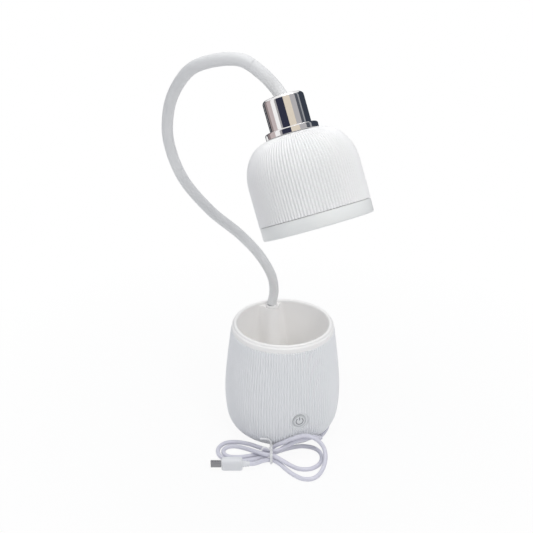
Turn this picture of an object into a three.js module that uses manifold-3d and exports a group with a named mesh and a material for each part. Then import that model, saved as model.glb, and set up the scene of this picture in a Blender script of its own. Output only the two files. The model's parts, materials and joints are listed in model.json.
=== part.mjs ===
// Touch table lamp: a ribbed base that doubles as a pen cup, a long bendable neck,
// a chrome collar, a ribbed dome shade with its light facing down, and a short USB lead
// tied in a hank at the foot. Millimetres, +Z up. The origin is the middle of the
// underside. The touch pad faces -Y and the neck rises from the back of the cup at +Y.
import * as THREE from 'three';
import { mergeVertices } from 'three/addons/utils/BufferGeometryUtils.js';
import Module from 'manifold-3d';

const wasm = await Module();
wasm.setup();

// Driving dimensions
const base_diameter = 105;
const base_height = 106.5;
const base_wall = 2.6;
const base_rib_count = 128;
const base_rib_depth = 0.6;
const neck_length = 385;
const neck_diameter = 8.5;
const shade_diameter = 73.6;
const shade_height = 51.4;
const shade_wall = 2;
const shade_rib_count = 112;
const shade_rib_depth = 0.45;
const collar_diameter = 27.6;
const collar_height = 20.8;
const flange_diameter = 34.8;
const flange_height = 4.2;
const bezel_height = 9.1;
const cable_diameter = 3.7;

// Clearances, overruns and degrees
const clearance = 0.3;
const running_gap = 0.5;
const overrun = 2;
const degree = Math.PI / 180;

// How finely round shapes are cut
const round_sides = 36;
const small_sides = 14;
const neck_sides = 10;

// Materials
function plastic(color, roughness) {
  return new THREE.MeshStandardMaterial({ color, roughness, metalness: 0 });
}
function metal(color, roughness) {
  return new THREE.MeshStandardMaterial({ color, roughness, metalness: 1 });
}
const housing_white = plastic(0xe9ebea, 0.55);
const smooth_white = plastic(0xf1f2f0, 0.35);
const neck_white = plastic(0xe4e5e3, 0.65);
const bezel_white = plastic(0xe3e7e3, 0.4);
const frosted_lens = plastic(0xf7f6f0, 0.5);
const touch_grey = plastic(0xb9bdbd, 0.4);
const pad_rubber = plastic(0x3a3b3c, 0.9);
const board_green = plastic(0x2f6b45, 0.6);
const board_white = plastic(0xf4f4f2, 0.5);
const cell_blue = plastic(0x3f6fae, 0.4);
const cradle_black = plastic(0x26272a, 0.6);
const cable_white = plastic(0xe2e0ec, 0.5);
const plug_grey = plastic(0xd7d9da, 0.5);
const lead_red = plastic(0xb23a34, 0.5);
const chrome = metal(0xd9dadd, 0.08);
const steel = metal(0x9a9ca0, 0.4);
const socket_steel = metal(0xc4c6c8, 0.25);

// Solids
function weld(geometry) {
  const bare = geometry.clone();
  for (const name of Object.keys(bare.attributes)) {
    if (name !== 'position') bare.deleteAttribute(name);
  }
  const merged = mergeVertices(bare, 1e-4);
  const kept = [];
  const index = merged.index.array;
  for (let i = 0; i < index.length; i += 3) {
    const [a, b, c] = [index[i], index[i + 1], index[i + 2]];
    if (a !== b && b !== c && c !== a) kept.push(a, b, c);
  }
  merged.setIndex(kept);
  return merged;
}

function solid(geometry) {
  const welded = weld(geometry);
  return new wasm.Manifold(new wasm.Mesh({
    numProp: 3,
    vertProperties: new Float32Array(welded.attributes.position.array),
    triVerts: new Uint32Array(welded.index.array),
  }));
}

function shapeOf(manifold) {
  const mesh = manifold.getMesh();
  const geometry = new THREE.BufferGeometry();
  geometry.setAttribute('position', new THREE.BufferAttribute(mesh.vertProperties, 3));
  geometry.setIndex(new THREE.BufferAttribute(mesh.triVerts, 1));
  return geometry;
}

function join(first, ...others) {
  return shapeOf(others.reduce((body, piece) => body.add(solid(piece)), solid(first)));
}

function cut(first, ...tools) {
  return shapeOf(tools.reduce((body, tool) => body.subtract(solid(tool)), solid(first)));
}

function keepInside(first, limit) {
  return shapeOf(solid(first).intersect(solid(limit)));
}

// A profile of [radius, height] points turned about Z
function revolve(profile, sides = round_sides) {
  const points = profile.map(([radius, height]) => new THREE.Vector2(radius, height));
  return weld(new THREE.LatheGeometry(points, sides).rotateX(Math.PI / 2));
}

function disc(radius, bottom, top, sides = round_sides) {
  return revolve([[0, bottom], [radius, bottom], [radius, top], [0, top]], sides);
}

function ring(inner, outer, bottom, top, sides = round_sides) {
  return revolve([[inner, bottom], [outer, bottom], [outer, top], [inner, top], [inner, bottom]], sides);
}

function block(width, depth, height, x, y, bottom) {
  return new THREE.BoxGeometry(width, depth, height).translate(x, y, bottom + height / 2);
}

function hexagon(radius, bore, bottom, top) {
  return cut(disc(radius, bottom, top, 6), disc(bore, bottom - overrun, top + overrun, small_sides));
}

// A round bar along -Y, as used for everything that faces the front
function frontBar(radius, near, far, height, sides = small_sides) {
  return disc(radius, near, far, sides).rotateX(Math.PI / 2).translate(0, 0, height);
}

function tubeAlong(points, radius, sides, steps) {
  const section = new THREE.Shape();
  for (let i = 0; i < sides; i += 1) {
    const angle = (i / sides) * 2 * Math.PI;
    section[i ? 'lineTo' : 'moveTo'](radius * Math.cos(angle), radius * Math.sin(angle));
  }
  const path = new THREE.CatmullRomCurve3(points.map((p) => new THREE.Vector3(...p)));
  return weld(new THREE.ExtrudeGeometry(section, { steps, extrudePath: path, bevelEnabled: false }));
}

// Every second vertex of a turned surface is drawn in, which leaves a row of upright ribs
function ribbed(geometry, count, depth, bottom, top) {
  const position = geometry.attributes.position;
  for (let i = 0; i < position.count; i += 1) {
    const [x, y, z] = [position.getX(i), position.getY(i), position.getZ(i)];
    const radius = Math.hypot(x, y);
    const step = Math.round((Math.atan2(y, x) / Math.PI) * count);
    if (radius > depth && z > bottom && z < top && step % 2 !== 0) {
      position.setXY(i, x * (1 - depth / radius), y * (1 - depth / radius));
    }
  }
  return geometry;
}

const lamp = new THREE.Group();
const head = new THREE.Group();
const bundle = new THREE.Group();
lamp.add(head, bundle);

function part(owner, name, geometry, material) {
  const mesh = new THREE.Mesh(weld(geometry), material);
  mesh.name = name;
  owner.add(mesh);
  return mesh;
}

// Base: heights of the stack inside
const base_radius = base_diameter / 2;
const pad_thickness = 1.2;
const cover_thickness = 2.4;
const weight_thickness = 8;
const cell_radius = 9.2;
const cell_length = 65;
const cup_floor = 36;
const cup_wall = 1.8;
const cup_fillet = 4;
const rim_height = 6.4;
const lip_round = 1.1;

// Radii inside the outer line, each set in from the one before
const foot_inset = 19.5;
const rim_band_inset = 6.4;
const rim_inset = 0.9;
const lip_inset = 0.6;
const cup_lip_width = 3.9;
const cup_taper = 3.2;
const weight_margin = 2.5;
const neck_margin = 2.3;
const foot_radius = base_radius - foot_inset;
const rib_top_radius = base_radius - rim_band_inset;
const rim_radius = rib_top_radius - rim_inset;
const lip_radius = rim_radius - lip_inset;
const cup_mouth_radius = lip_radius - cup_lip_width;
const cup_floor_radius = cup_mouth_radius - cup_taper;
const weight_radius = cup_floor_radius - weight_margin;
const neck_setback = cup_floor_radius - neck_margin;
const cover_floor = pad_thickness + cover_thickness;
const weight_bottom = cover_floor + clearance;
const weight_top = weight_bottom + weight_thickness;
const rib_top = base_height - rim_height;
const cup_underside = cup_floor - cup_wall;

// The base's outer line: the foot's curve, then the flank, as shares of the base's
// radius and height
const foot_curve_shares = { pull: [0.955, 0.02], end: [0.983, 0.212] };
const flank_curve_shares = { low: [1.035, 0.43], high: [0.94, 0.69] };
const cover_share_of_foot = 0.25;
const foot_bands = 4;
const flank_bands = 3;

function outlinePoint([radius_share, height_share]) {
  return new THREE.Vector2(radius_share * base_radius, height_share * base_height);
}
const foot_curve = new THREE.QuadraticBezierCurve(
  new THREE.Vector2(foot_radius, pad_thickness),
  outlinePoint(foot_curve_shares.pull),
  outlinePoint(foot_curve_shares.end),
);
const flank_curve = new THREE.CubicBezierCurve(
  outlinePoint(foot_curve_shares.end),
  outlinePoint(flank_curve_shares.low),
  outlinePoint(flank_curve_shares.high),
  new THREE.Vector2(rib_top_radius, rib_top),
);

function stretch(curve, from, to, bands) {
  const points = [];
  for (let i = 0; i <= bands; i += 1) {
    points.push(curve.getPoint(from + ((to - from) * i) / bands));
  }
  return points.map((p) => [p.x, p.y]);
}
const shell_line = [
  ...stretch(foot_curve, cover_share_of_foot, 1, foot_bands - 1),
  ...stretch(flank_curve, 0, 1, flank_bands).slice(1),
];
const cover_line = stretch(foot_curve, 0, cover_share_of_foot, 2);

function outerRadiusAt(height) {
  for (let i = 1; i < shell_line.length; i += 1) {
    const [[r0, z0], [r1, z1]] = [shell_line[i - 1], shell_line[i]];
    if (height <= z1) return r0 + ((r1 - r0) * (height - z0)) / (z1 - z0);
  }
  return rib_top_radius;
}

// Touch pad, in a round recess that interrupts the ribs
const pad_height = 35;
const recess_radius = 8.35;
const recess_depth = 1.6;
const recess_wall = 2.2;
const pad_radius = 6.15;
const pad_disc_thickness = 0.9;
const pad_stem_radius = 2.4;
const touch_board_radius = 7.5;
const touch_board_thickness = 1.2;
const recess_face = outerRadiusAt(pad_height) - recess_depth;
const recess_back = recess_face - recess_wall;

// Charging socket, low at the back on the control board
const board_thickness = 1.6;
const board_width = 26;
const board_depth = 22;
const board_underside = 15;
const socket_width = 7.6;
const socket_depth = 5.8;
const socket_height = 2.9;
const socket_wall = 0.4;
const slot_margin = 0.9;
const board_top = board_underside + board_thickness;
const socket_bottom = board_top + clearance;
const socket_inset = 2.8;
const socket_back = outerRadiusAt(socket_bottom) - socket_inset;
const board_reach = outerRadiusAt(board_underside) - base_wall - base_rib_depth - clearance;
const board_back = Math.sqrt(board_reach ** 2 - (board_width / 2) ** 2);
const board_middle = board_back - board_depth / 2;

function baseShell() {
  const outline = [[0, shell_line[0][1]], ...shell_line, [0, rib_top]];
  const outside = ribbed(revolve(outline, base_rib_count * 2), base_rib_count, base_rib_depth,
    shell_line[1][1] - clearance, base_height);
  const inner_line = shell_line.map(([radius, height]) => [radius - base_wall, height]);
  const cavity = [
    [0, inner_line[0][1] - overrun],
    [inner_line[0][0], inner_line[0][1] - overrun],
    ...inner_line,
    [rib_top_radius - base_wall, rib_top + overrun],
    [0, rib_top + overrun],
  ];
  const seat = frontBar(recess_radius + recess_wall, recess_back, recess_face + recess_depth / 2, pad_height, small_sides);
  const recess = frontBar(recess_radius, recess_face, base_radius + overrun, pad_height, small_sides * 2);
  const stem_hole = frontBar(pad_stem_radius + clearance, recess_back - overrun, base_radius, pad_height);
  const slot = block(socket_width + slot_margin * 2, base_radius, socket_height + slot_margin * 2,
    0, socket_back - socket_depth + base_radius / 2, socket_bottom - slot_margin);
  return cut(join(cut(outside, revolve(cavity)), seat), recess, stem_hole, slot);
}

// Bolt posts under the cup clamp the cup, the weight and the cover together
const post_spread = 19.5;
const post_radius = 3.4;
const post_places = [[1, 1], [-1, 1], [-1, -1], [1, -1]]
  .map(([x, y]) => [x * post_spread, y * post_spread]);
const peg_radius = 2.4;
const peg_spread = 9.6;
const peg_from_edge = 3;
const peg_line = board_middle - board_depth / 2 + peg_from_edge;
const peg_places = [[-peg_spread, peg_line], [peg_spread, peg_line]];
const boss_radius = 6.2;
const boss_foot_radius = 15;
const boss_drop = 2.9;
const boss_top = base_height - boss_drop;
const neck_stem_radius = 3.4;

function penCup() {
  const mouth = cup_mouth_radius;
  const band_bottom = rib_top + clearance;
  const outside_mouth = mouth + cup_wall - clearance;
  const profile = [
    [0, cup_underside],
    [cup_floor_radius + cup_wall - cup_fillet, cup_underside],
    [cup_floor_radius + cup_wall, cup_underside + cup_fillet],
    [outside_mouth, band_bottom - overrun],
    [outside_mouth, band_bottom],
    [rim_radius, band_bottom],
    [lip_radius, base_height - lip_round],
    [lip_radius - lip_round, base_height],
    [mouth + lip_round, base_height],
    [mouth, base_height - lip_round],
    [cup_floor_radius, cup_floor + cup_fillet],
    [cup_floor_radius - cup_fillet / 3, cup_floor + cup_fillet / 3],
    [cup_floor_radius - cup_fillet, cup_floor],
    [0, cup_floor],
  ];
  const envelope = revolve([[0, cup_underside], [cup_floor_radius + cup_wall, cup_underside + cup_fillet],
    [outside_mouth, band_bottom], [outside_mouth, boss_top], [0, boss_top]]);
  const flare = revolve([[0, cup_underside], [boss_foot_radius, cup_underside], [boss_radius, boss_top], [0, boss_top]],
    small_sides * 2).translate(0, neck_setback, 0);
  const boss = keepInside(flare, envelope);
  const bore = disc(neck_stem_radius + clearance, 0, base_height, small_sides).translate(0, neck_setback, 0);
  const posts = post_places.map(([x, y]) => disc(post_radius, cover_floor + clearance, cup_floor - cup_wall / 2, small_sides)
    .translate(x, y, 0));
  const pegs = peg_places.map(([x, y]) => disc(peg_radius, board_top + clearance, cup_floor - cup_wall / 2, small_sides)
    .translate(x, y, 0));
  const cup = cut(join(revolve(profile, round_sides), boss, ...posts, ...pegs), bore);
  const screw_holes = post_places.map(([x, y]) => disc(cover_screw_radius + clearance, 0, cover_screw_top + clearance, small_sides / 2)
    .translate(x, y, 0));
  const peg_holes = peg_places.map(([x, y]) => disc(board_screw_radius + clearance, 0, board_screw_top + clearance, small_sides / 2)
    .translate(x, y, 0));
  return cut(cup, ...screw_holes, ...peg_holes);
}

const cover_screw_radius = 1.4;
const cover_screw_head = 2.7;
const cover_screw_top = 16;
const board_screw_radius = 1;
const board_screw_head = 1.9;
const board_screw_top = board_top + 5;
const head_sink = 1.3;

function bottomCover() {
  const [edge_radius, edge_height] = cover_line[cover_line.length - 1];
  const spigot = edge_radius - base_wall - clearance;
  const plate = revolve([
    [0, pad_thickness],
    ...cover_line.slice(0, -1),
    [edge_radius - clearance * 2, edge_height - clearance],
    [spigot, edge_height - clearance],
    [spigot, cover_floor],
    [0, cover_floor],
  ]);
  const holes = post_places.map(([x, y]) => disc(cover_screw_radius + clearance, 0, base_height, small_sides / 2)
    .translate(x, y, 0));
  const sinks = post_places.map(([x, y]) => disc(cover_screw_head + clearance, 0, pad_thickness + head_sink + clearance, small_sides)
    .translate(x, y, 0));
  return cut(plate, ...holes, ...sinks);
}

function counterweight() {
  const holes = post_places.map(([x, y]) => disc(post_radius + running_gap, 0, base_height, small_sides)
    .translate(x, y, 0));
  return cut(disc(weight_radius, weight_bottom, weight_top), ...holes);
}

const cradle_width = 26;
const cradle_depth = 22;
const cradle_floor = 1.2;
const cradle_height = 9;
const cell_axis = weight_top + clearance + cradle_floor + clearance + cell_radius;

function batteryCradle() {
  const bottom = weight_top + clearance;
  const bed = new THREE.CylinderGeometry(cell_radius + clearance, cell_radius + clearance, cell_length, small_sides * 2)
    .rotateZ(Math.PI / 2).translate(0, 0, cell_axis);
  return cut(block(cradle_width, cradle_depth, cradle_height, 0, 0, bottom), bed);
}

function batteryCell() {
  return new THREE.CylinderGeometry(cell_radius, cell_radius, cell_length, small_sides * 2)
    .rotateZ(Math.PI / 2).translate(0, 0, cell_axis);
}

function controlBoard() {
  const board = block(board_width, board_depth, board_thickness, 0, board_middle, board_underside);
  const holes = peg_places.map(([x, y]) => disc(board_screw_radius + clearance, 0, base_height, small_sides / 2)
    .translate(x, y, 0));
  return cut(board, ...holes);
}

function chargingSocket() {
  const body = block(socket_width, socket_depth, socket_height, 0, socket_back - socket_depth / 2, socket_bottom);
  const mouth = block(socket_width - socket_wall * 2, socket_depth, socket_height - socket_wall * 2,
    0, socket_back, socket_bottom + socket_wall);
  return cut(body, mouth);
}

function screw(shank, head_radius, head_bottom, head_top, top) {
  return revolve([[0, head_bottom], [head_radius, head_bottom], [head_radius, head_top],
    [shank, head_top], [shank, top], [0, top]], small_sides / 2);
}

function touchPad() {
  const face = recess_face + clearance;
  const profile = [[0, recess_back + clearance], [pad_stem_radius, recess_back + clearance], [pad_stem_radius, face],
    [pad_radius, face], [pad_radius, face + pad_disc_thickness / 2],
    [pad_radius - pad_disc_thickness / 2, face + pad_disc_thickness], [0, face + pad_disc_thickness]];
  return revolve(profile, small_sides * 2).rotateX(Math.PI / 2).translate(0, 0, pad_height);
}

function touchBoard() {
  const front = recess_back - clearance;
  return frontBar(touch_board_radius, front - touch_board_thickness, front, pad_height);
}

part(lamp, 'base_shell', baseShell(), housing_white);
part(lamp, 'pen_cup', penCup(), smooth_white);
part(lamp, 'bottom_cover', bottomCover(), housing_white);
part(lamp, 'anti_slip_pad', disc(foot_radius, 0, pad_thickness - clearance), pad_rubber);
part(lamp, 'counterweight', counterweight(), steel);
part(lamp, 'battery_cradle', batteryCradle(), cradle_black);
part(lamp, 'battery_cell', batteryCell(), cell_blue);
part(lamp, 'control_board', controlBoard(), board_green);
part(lamp, 'charging_socket', chargingSocket(), socket_steel);
part(lamp, 'touch_pad', touchPad(), touch_grey);
part(lamp, 'touch_board', touchBoard(), board_green);
post_places.forEach(([x, y], i) => {
  const shape = screw(cover_screw_radius, cover_screw_head, pad_thickness, pad_thickness + head_sink, cover_screw_top);
  part(lamp, `cover_screw_${i + 1}`, shape.translate(x, y, 0), steel);
});
peg_places.forEach(([x, y], i) => {
  const head_top = board_underside - clearance;
  const shape = screw(board_screw_radius, board_screw_head, head_top - head_sink, head_top, board_screw_top);
  part(lamp, `board_screw_${i + 1}`, shape.translate(x, y, 0), steel);
});

// Neck: a threaded stem through the cup's boss, a lock nut under the cup, a ferrule on
// the boss, and a row of curved links that seat ball in socket
const neck_radius = neck_diameter / 2;
const ferrule_radius = 5.3;
const ferrule_height = 2;
const nut_radius = 6.2;
const nut_height = 4.5;
const stem_below = 6;
const stem_bore = 2;
const ferrule_bottom = boss_top + clearance;
const ferrule_top = ferrule_bottom + ferrule_height;
const nut_top = cup_underside - clearance;

function neckStem() {
  return ring(stem_bore, neck_stem_radius, nut_top - nut_height - stem_below / 2, ferrule_top, small_sides)
    .translate(0, neck_setback, 0);
}
part(lamp, 'neck_stem', neckStem(), steel);
part(lamp, 'neck_nut', hexagon(nut_radius, neck_stem_radius + clearance, nut_top - nut_height, nut_top)
  .translate(0, neck_setback, 0), steel);
part(lamp, 'neck_ferrule', ring(neck_stem_radius + clearance, ferrule_radius, ferrule_bottom, ferrule_top, small_sides)
  .translate(0, neck_setback, 0), smooth_white);

// The neck's centre line, from the ferrule to the collar, as shares of its length
const neck_route_shares = [
  [0, 0, 0],
  [0.001, 0.001, 0.032],
  [-0.006, -0.009, 0.073],
  [-0.042, -0.037, 0.145],
  [-0.094, -0.059, 0.21],
  [-0.153, -0.063, 0.28],
  [-0.208, -0.059, 0.353],
  [-0.244, -0.071, 0.431],
  [-0.247, -0.115, 0.507],
  [-0.234, -0.182, 0.571],
  [-0.208, -0.253, 0.618],
  [-0.148, -0.32, 0.628],
  [-0.113, -0.337, 0.615],
  [-0.0905, -0.3447, 0.591],
  [-0.0871, -0.3528, 0.573],
];
// The way that the shade faces, as a unit direction
const shade_aim = new THREE.Vector3(0.169, -0.405, -0.899).normalize();
const neck_start = new THREE.Vector3(0, neck_setback, ferrule_top + clearance);
const neck_route = new THREE.CatmullRomCurve3(neck_route_shares.map(
  (share) => new THREE.Vector3(...share).multiplyScalar(neck_length).add(neck_start),
), false, 'centripetal');
const neck_end = neck_route.getPoint(1);
const joint_count = 12;
const first_joint_share = 0.045;
const last_joint_share = 0.965;
const socket_gap = 0.3;
const socket_angle = 60;
const socket_steps = 2;
const ball_steps = 2;
const link_steps = 3;
const socket_radius = neck_radius + socket_gap;
const socket_run = socket_radius + socket_gap * 2;
const stub_into_collar = 3;

function neckStation(share) {
  return { at: neck_route.getPointAt(share), along: neck_route.getTangentAt(share).normalize() };
}

const neck_stations = [{ at: neck_start, along: new THREE.Vector3(0, 0, 1) }];
for (let i = 0; i < joint_count; i += 1) {
  neck_stations.push(neckStation(first_joint_share
    + ((last_joint_share - first_joint_share) * i) / (joint_count - 1)));
}
neck_stations.push({ at: neck_end.clone().addScaledVector(shade_aim, stub_into_collar), along: shade_aim.clone() });

// Rings of one link: the socket's hollow, its rim, the curved body, then the ball
function linkRings(end, end_along, has_socket, has_ball) {
  const up = new THREE.Vector3(0, 0, 1);
  const rings = [];
  const straight = has_socket ? socket_run : 0;
  if (has_socket) {
    rings.push({ at: up.clone().multiplyScalar(socket_radius), along: up, radius: 0 });
    for (let i = 1; i <= socket_steps; i += 1) {
      const polar = (socket_angle * degree * i) / socket_steps;
      rings.push({
        at: up.clone().multiplyScalar(socket_radius * Math.cos(polar)), along: up, radius: socket_radius * Math.sin(polar),
      });
    }
    const rim = neck_radius / Math.tan(socket_angle * degree);
    rings.push({ at: up.clone().multiplyScalar(rim), along: up, radius: neck_radius });
  } else {
    rings.push({ at: new THREE.Vector3(), along: up, radius: 0 });
  }
  const start = up.clone().multiplyScalar(straight);
  const pull = start.distanceTo(end) / 3;
  const body = new THREE.CubicBezierCurve3(start, start.clone().addScaledVector(up, pull),
    end.clone().addScaledVector(end_along, -pull), end);
  for (let i = 0; i <= link_steps; i += 1) {
    const t = i / link_steps;
    rings.push({ at: body.getPoint(t), along: body.getTangent(t), radius: neck_radius });
  }
  for (let i = 1; has_ball && i <= ball_steps; i += 1) {
    const polar = ((ball_steps + 1 - i) / (ball_steps + 1)) * (Math.PI / 2);
    rings.push({
      at: end.clone().addScaledVector(end_along, neck_radius * Math.cos(polar)),
      along: end_along,
      radius: neck_radius * Math.sin(polar),
    });
  }
  rings.push({ at: end.clone().addScaledVector(end_along, has_ball ? neck_radius : 0), along: end_along, radius: 0 });
  return rings;
}

// A skin over the rings, each turned as little as can be from the one before
function skin(rings, sides) {
  const positions = [];
  const turn = new THREE.Quaternion();
  let before = new THREE.Vector3(0, 0, 1);
  const rows = rings.map(({ at, along, radius }) => {
    turn.premultiply(new THREE.Quaternion().setFromUnitVectors(before, along));
    before = along;
    return Array.from({ length: sides }, (_, k) => {
      const angle = (k / sides) * 2 * Math.PI;
      return new THREE.Vector3(radius * Math.cos(angle), radius * Math.sin(angle), 0).applyQuaternion(turn).add(at);
    });
  });
  for (let i = 1; i < rows.length; i += 1) {
    for (let k = 0; k < sides; k += 1) {
      const [a, b] = [rows[i - 1][k], rows[i - 1][(k + 1) % sides]];
      const [c, d] = [rows[i][(k + 1) % sides], rows[i][k]];
      for (const p of [a, b, c, a, c, d]) positions.push(p.x, p.y, p.z);
    }
  }
  const geometry = new THREE.BufferGeometry();
  geometry.setAttribute('position', new THREE.Float32BufferAttribute(positions, 3));
  return weld(geometry);
}

const link_total = neck_stations.length - 1;
for (let i = 0; i < link_total; i += 1) {
  const [from, to] = [neck_stations[i], neck_stations[i + 1]];
  const place = new THREE.Object3D();
  place.position.copy(from.at);
  place.quaternion.setFromUnitVectors(new THREE.Vector3(0, 0, 1), from.along);
  place.updateMatrixWorld();
  const end = place.worldToLocal(to.at.clone());
  const end_along = to.along.clone().applyQuaternion(place.quaternion.clone().invert());
  const rings = linkRings(end, end_along, i > 0, i < link_total - 1);
  const link = part(lamp, `neck_link_${String(i + 1).padStart(2, '0')}`, skin(rings, neck_sides), neck_white);
  link.position.copy(place.position);
  link.quaternion.copy(place.quaternion);
}

// Head: its own frame has the seam's centre as origin and +Z towards the collar
const shade_radius = shade_diameter / 2;
const collar_radius = collar_diameter / 2;
const flange_radius = flange_diameter / 2;
const collar_wall = 1.4;
const collar_round = 2;
const dome_start_share = 0.488;
const dome_bands = 4;
const head_stack = shade_height + clearance + flange_height + collar_height;
head.position.copy(neck_end).addScaledVector(shade_aim, head_stack);
head.quaternion.setFromUnitVectors(new THREE.Vector3(0, 0, -1), shade_aim);

function domeLine(radius, top_radius, height) {
  const start = dome_start_share * shade_height;
  const line = [[radius, 0], [radius, start]];
  for (let i = 1; i <= dome_bands; i += 1) {
    const angle = (i / dome_bands) * (Math.PI / 2);
    line.push([
      top_radius + (radius - top_radius) * Math.cos(angle),
      start + (height - start) * Math.sin(angle),
    ]);
  }
  return line;
}

const bezel_inset = 0.1;
const bezel_chamfer = 0.9;
const bezel_lip = 1.6;
const spigot_height = 3;
const spigot_wall = 2;
const lens_thickness = 1.8;
const led_board_radius = 30;
const led_board_thickness = 1.6;
const led_board_bottom = 8;
const led_count = 12;
const led_size = 3.2;
const led_height = 0.9;
const led_circle = 22;
const tower_radius = 3;
const tower_circle = 27;
const tower_count = 3;
const led_screw_radius = 1;
const led_screw_head = 1.9;
const led_screw_depth = 6;
const shade_nut_radius = 6.5;
const shade_nut_height = 4;
const led_board_top = led_board_bottom + led_board_thickness;
const spigot_radius = shade_radius - shade_wall - clearance * 2;
const lens_radius = spigot_radius - spigot_wall - clearance;
const shade_inside_top = shade_height - shade_wall;
const tower_angles = Array.from({ length: tower_count }, (_, i) => ((i + 0.5) / tower_count) * 2 * Math.PI);

function aroundHead(geometry, circle, angle) {
  return geometry.translate(circle * Math.cos(angle), circle * Math.sin(angle), 0);
}

function shadeShell() {
  const outline = [[0, 0], ...domeLine(shade_radius, flange_radius, shade_height), [0, shade_height]];
  const outside = ribbed(revolve(outline, shade_rib_count * 2), shade_rib_count, shade_rib_depth,
    -overrun, shade_height - clearance);
  const inner = domeLine(shade_radius - shade_wall, flange_radius - shade_wall, shade_inside_top);
  const cavity = revolve([[0, -overrun], [shade_radius - shade_wall, -overrun], ...inner, [0, shade_inside_top]]);
  const hole = disc(neck_stem_radius + clearance, 0, shade_height + overrun, small_sides);
  const towers = tower_angles.map((angle) => aroundHead(
    disc(tower_radius, led_board_top + clearance, shade_height, small_sides / 2), tower_circle, angle));
  const plain = revolve([[0, 0], ...domeLine(shade_radius - shade_wall / 2, flange_radius, shade_height - shade_wall / 2),
    [0, shade_height - shade_wall / 2]]);
  const trimmed = towers.map((tower) => keepInside(tower, plain));
  const screw_holes = tower_angles.map((angle) => aroundHead(
    disc(led_screw_radius + clearance, 0, led_board_top + led_screw_depth, small_sides / 2), tower_circle, angle));
  return cut(join(cut(outside, cavity), ...trimmed), hole, ...screw_holes);
}

function collar() {
  const bottom = shade_height + clearance;
  const step = bottom + flange_height;
  const top = step + collar_height;
  const hole = neck_radius + running_gap;
  return revolve([
    [collar_radius - collar_wall, bottom],
    [flange_radius, bottom],
    [flange_radius, step],
    [collar_radius, step],
    [collar_radius, top - collar_round],
    [collar_radius - collar_round / 3, top - collar_round / 3],
    [collar_radius - collar_round, top],
    [hole, top],
    [hole, top - collar_wall],
    [collar_radius - collar_wall, top - collar_wall],
    [collar_radius - collar_wall, bottom],
  ], round_sides);
}

function headStem() {
  const top = head_stack - stub_into_collar - clearance;
  const shoulder = collar_radius - collar_wall - running_gap;
  return revolve([
    [stem_bore, shade_inside_top - shade_nut_height - stem_below / 2],
    [neck_stem_radius, shade_inside_top - shade_nut_height - stem_below / 2],
    [neck_stem_radius, shade_height + clearance],
    [shoulder, shade_height + clearance],
    [shoulder, shade_height + clearance + shade_wall],
    [neck_radius, shade_height + clearance + shade_wall],
    [neck_radius, top],
    [stem_bore, top],
    [stem_bore, shade_inside_top - shade_nut_height - stem_below / 2],
  ], small_sides);
}

function diffuserBezel() {
  const outside = shade_radius - bezel_inset;
  const inside = spigot_radius - spigot_wall;
  const lip = inside - spigot_wall;
  return revolve([
    [outside, -clearance],
    [spigot_radius, -clearance],
    [spigot_radius, spigot_height],
    [inside, spigot_height],
    [inside, bezel_lip - bezel_height],
    [lip, bezel_lip - bezel_height],
    [lip, -bezel_height],
    [outside - bezel_chamfer, -bezel_height],
    [outside, bezel_chamfer - bezel_height],
    [outside, -clearance],
  ]);
}

function diffuserLens() {
  const bottom = bezel_lip - bezel_height + clearance;
  return disc(lens_radius, bottom, bottom + lens_thickness);
}

function ledBoard() {
  const board = disc(led_board_radius, led_board_bottom, led_board_top);
  const chips = Array.from({ length: led_count }, (_, i) => aroundHead(
    block(led_size, led_size, led_height + overrun / 4, 0, 0, led_board_bottom - led_height),
    led_circle, (i / led_count) * 2 * Math.PI));
  const holes = tower_angles.map((angle) => aroundHead(
    disc(led_screw_radius + clearance, 0, shade_height, small_sides / 2), tower_circle, angle));
  return cut(join(board, ...chips), ...holes);
}

part(head, 'shade_shell', shadeShell(), housing_white);
part(head, 'collar', collar(), chrome);
part(head, 'head_stem', headStem(), steel);
part(head, 'shade_nut', hexagon(shade_nut_radius, neck_stem_radius + clearance,
  shade_inside_top - clearance - shade_nut_height, shade_inside_top - clearance), steel);
part(head, 'diffuser_bezel', diffuserBezel(), bezel_white);
part(head, 'diffuser_lens', diffuserLens(), frosted_lens);
part(head, 'led_board', ledBoard(), board_white);
tower_angles.forEach((angle, i) => {
  const head_top = led_board_bottom - clearance;
  const shape = screw(led_screw_radius, led_screw_head, head_top - head_sink, head_top, led_board_top + led_screw_depth - clearance);
  part(head, `led_screw_${i + 1}`, aroundHead(shape, tower_circle, angle), steel);
});

// Leads inside the housings, two cores in one jacket
const lead_radius = 0.8;
const lead_sides = 6;

function innerLead(points, steps) {
  return tubeAlong(points, lead_radius, lead_sides, steps);
}
const stem_mouth = shade_inside_top - shade_nut_height - stem_below / 2;
part(head, 'head_lead', innerLead([
  [0, 0, stem_mouth - clearance],
  [0, 0, stem_mouth - 6],
  [3, 0, stem_mouth - 16],
  [8, 2, led_board_top + 8],
  [9, 2, led_board_top + lead_radius / 2],
], 8), lead_red);
part(lamp, 'neck_lead', innerLead([
  [0, neck_setback, nut_top - nut_height - stem_below / 2 - clearance],
  [0, neck_setback, board_top + 6],
  [2, board_middle + 1, board_top + 3],
  [4, board_middle, board_top + lead_radius / 2],
], 6), lead_red);
part(lamp, 'battery_lead', innerLead([
  [-cell_length / 2 - clearance, 0, cell_axis],
  [-cell_length / 2 - 2.2, 0, cell_axis],
  [-cell_length / 2 - 3.6, 3, cell_axis],
  [-cell_length / 2 - 1, 13, cell_axis],
  [-26, 28, cell_axis],
  [-19, board_middle, cell_axis],
  [-board_width / 2 + 3, board_middle, board_top + 2],
  [-board_width / 2 + 4, board_middle, board_top + lead_radius / 2],
], 12), lead_red);
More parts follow.
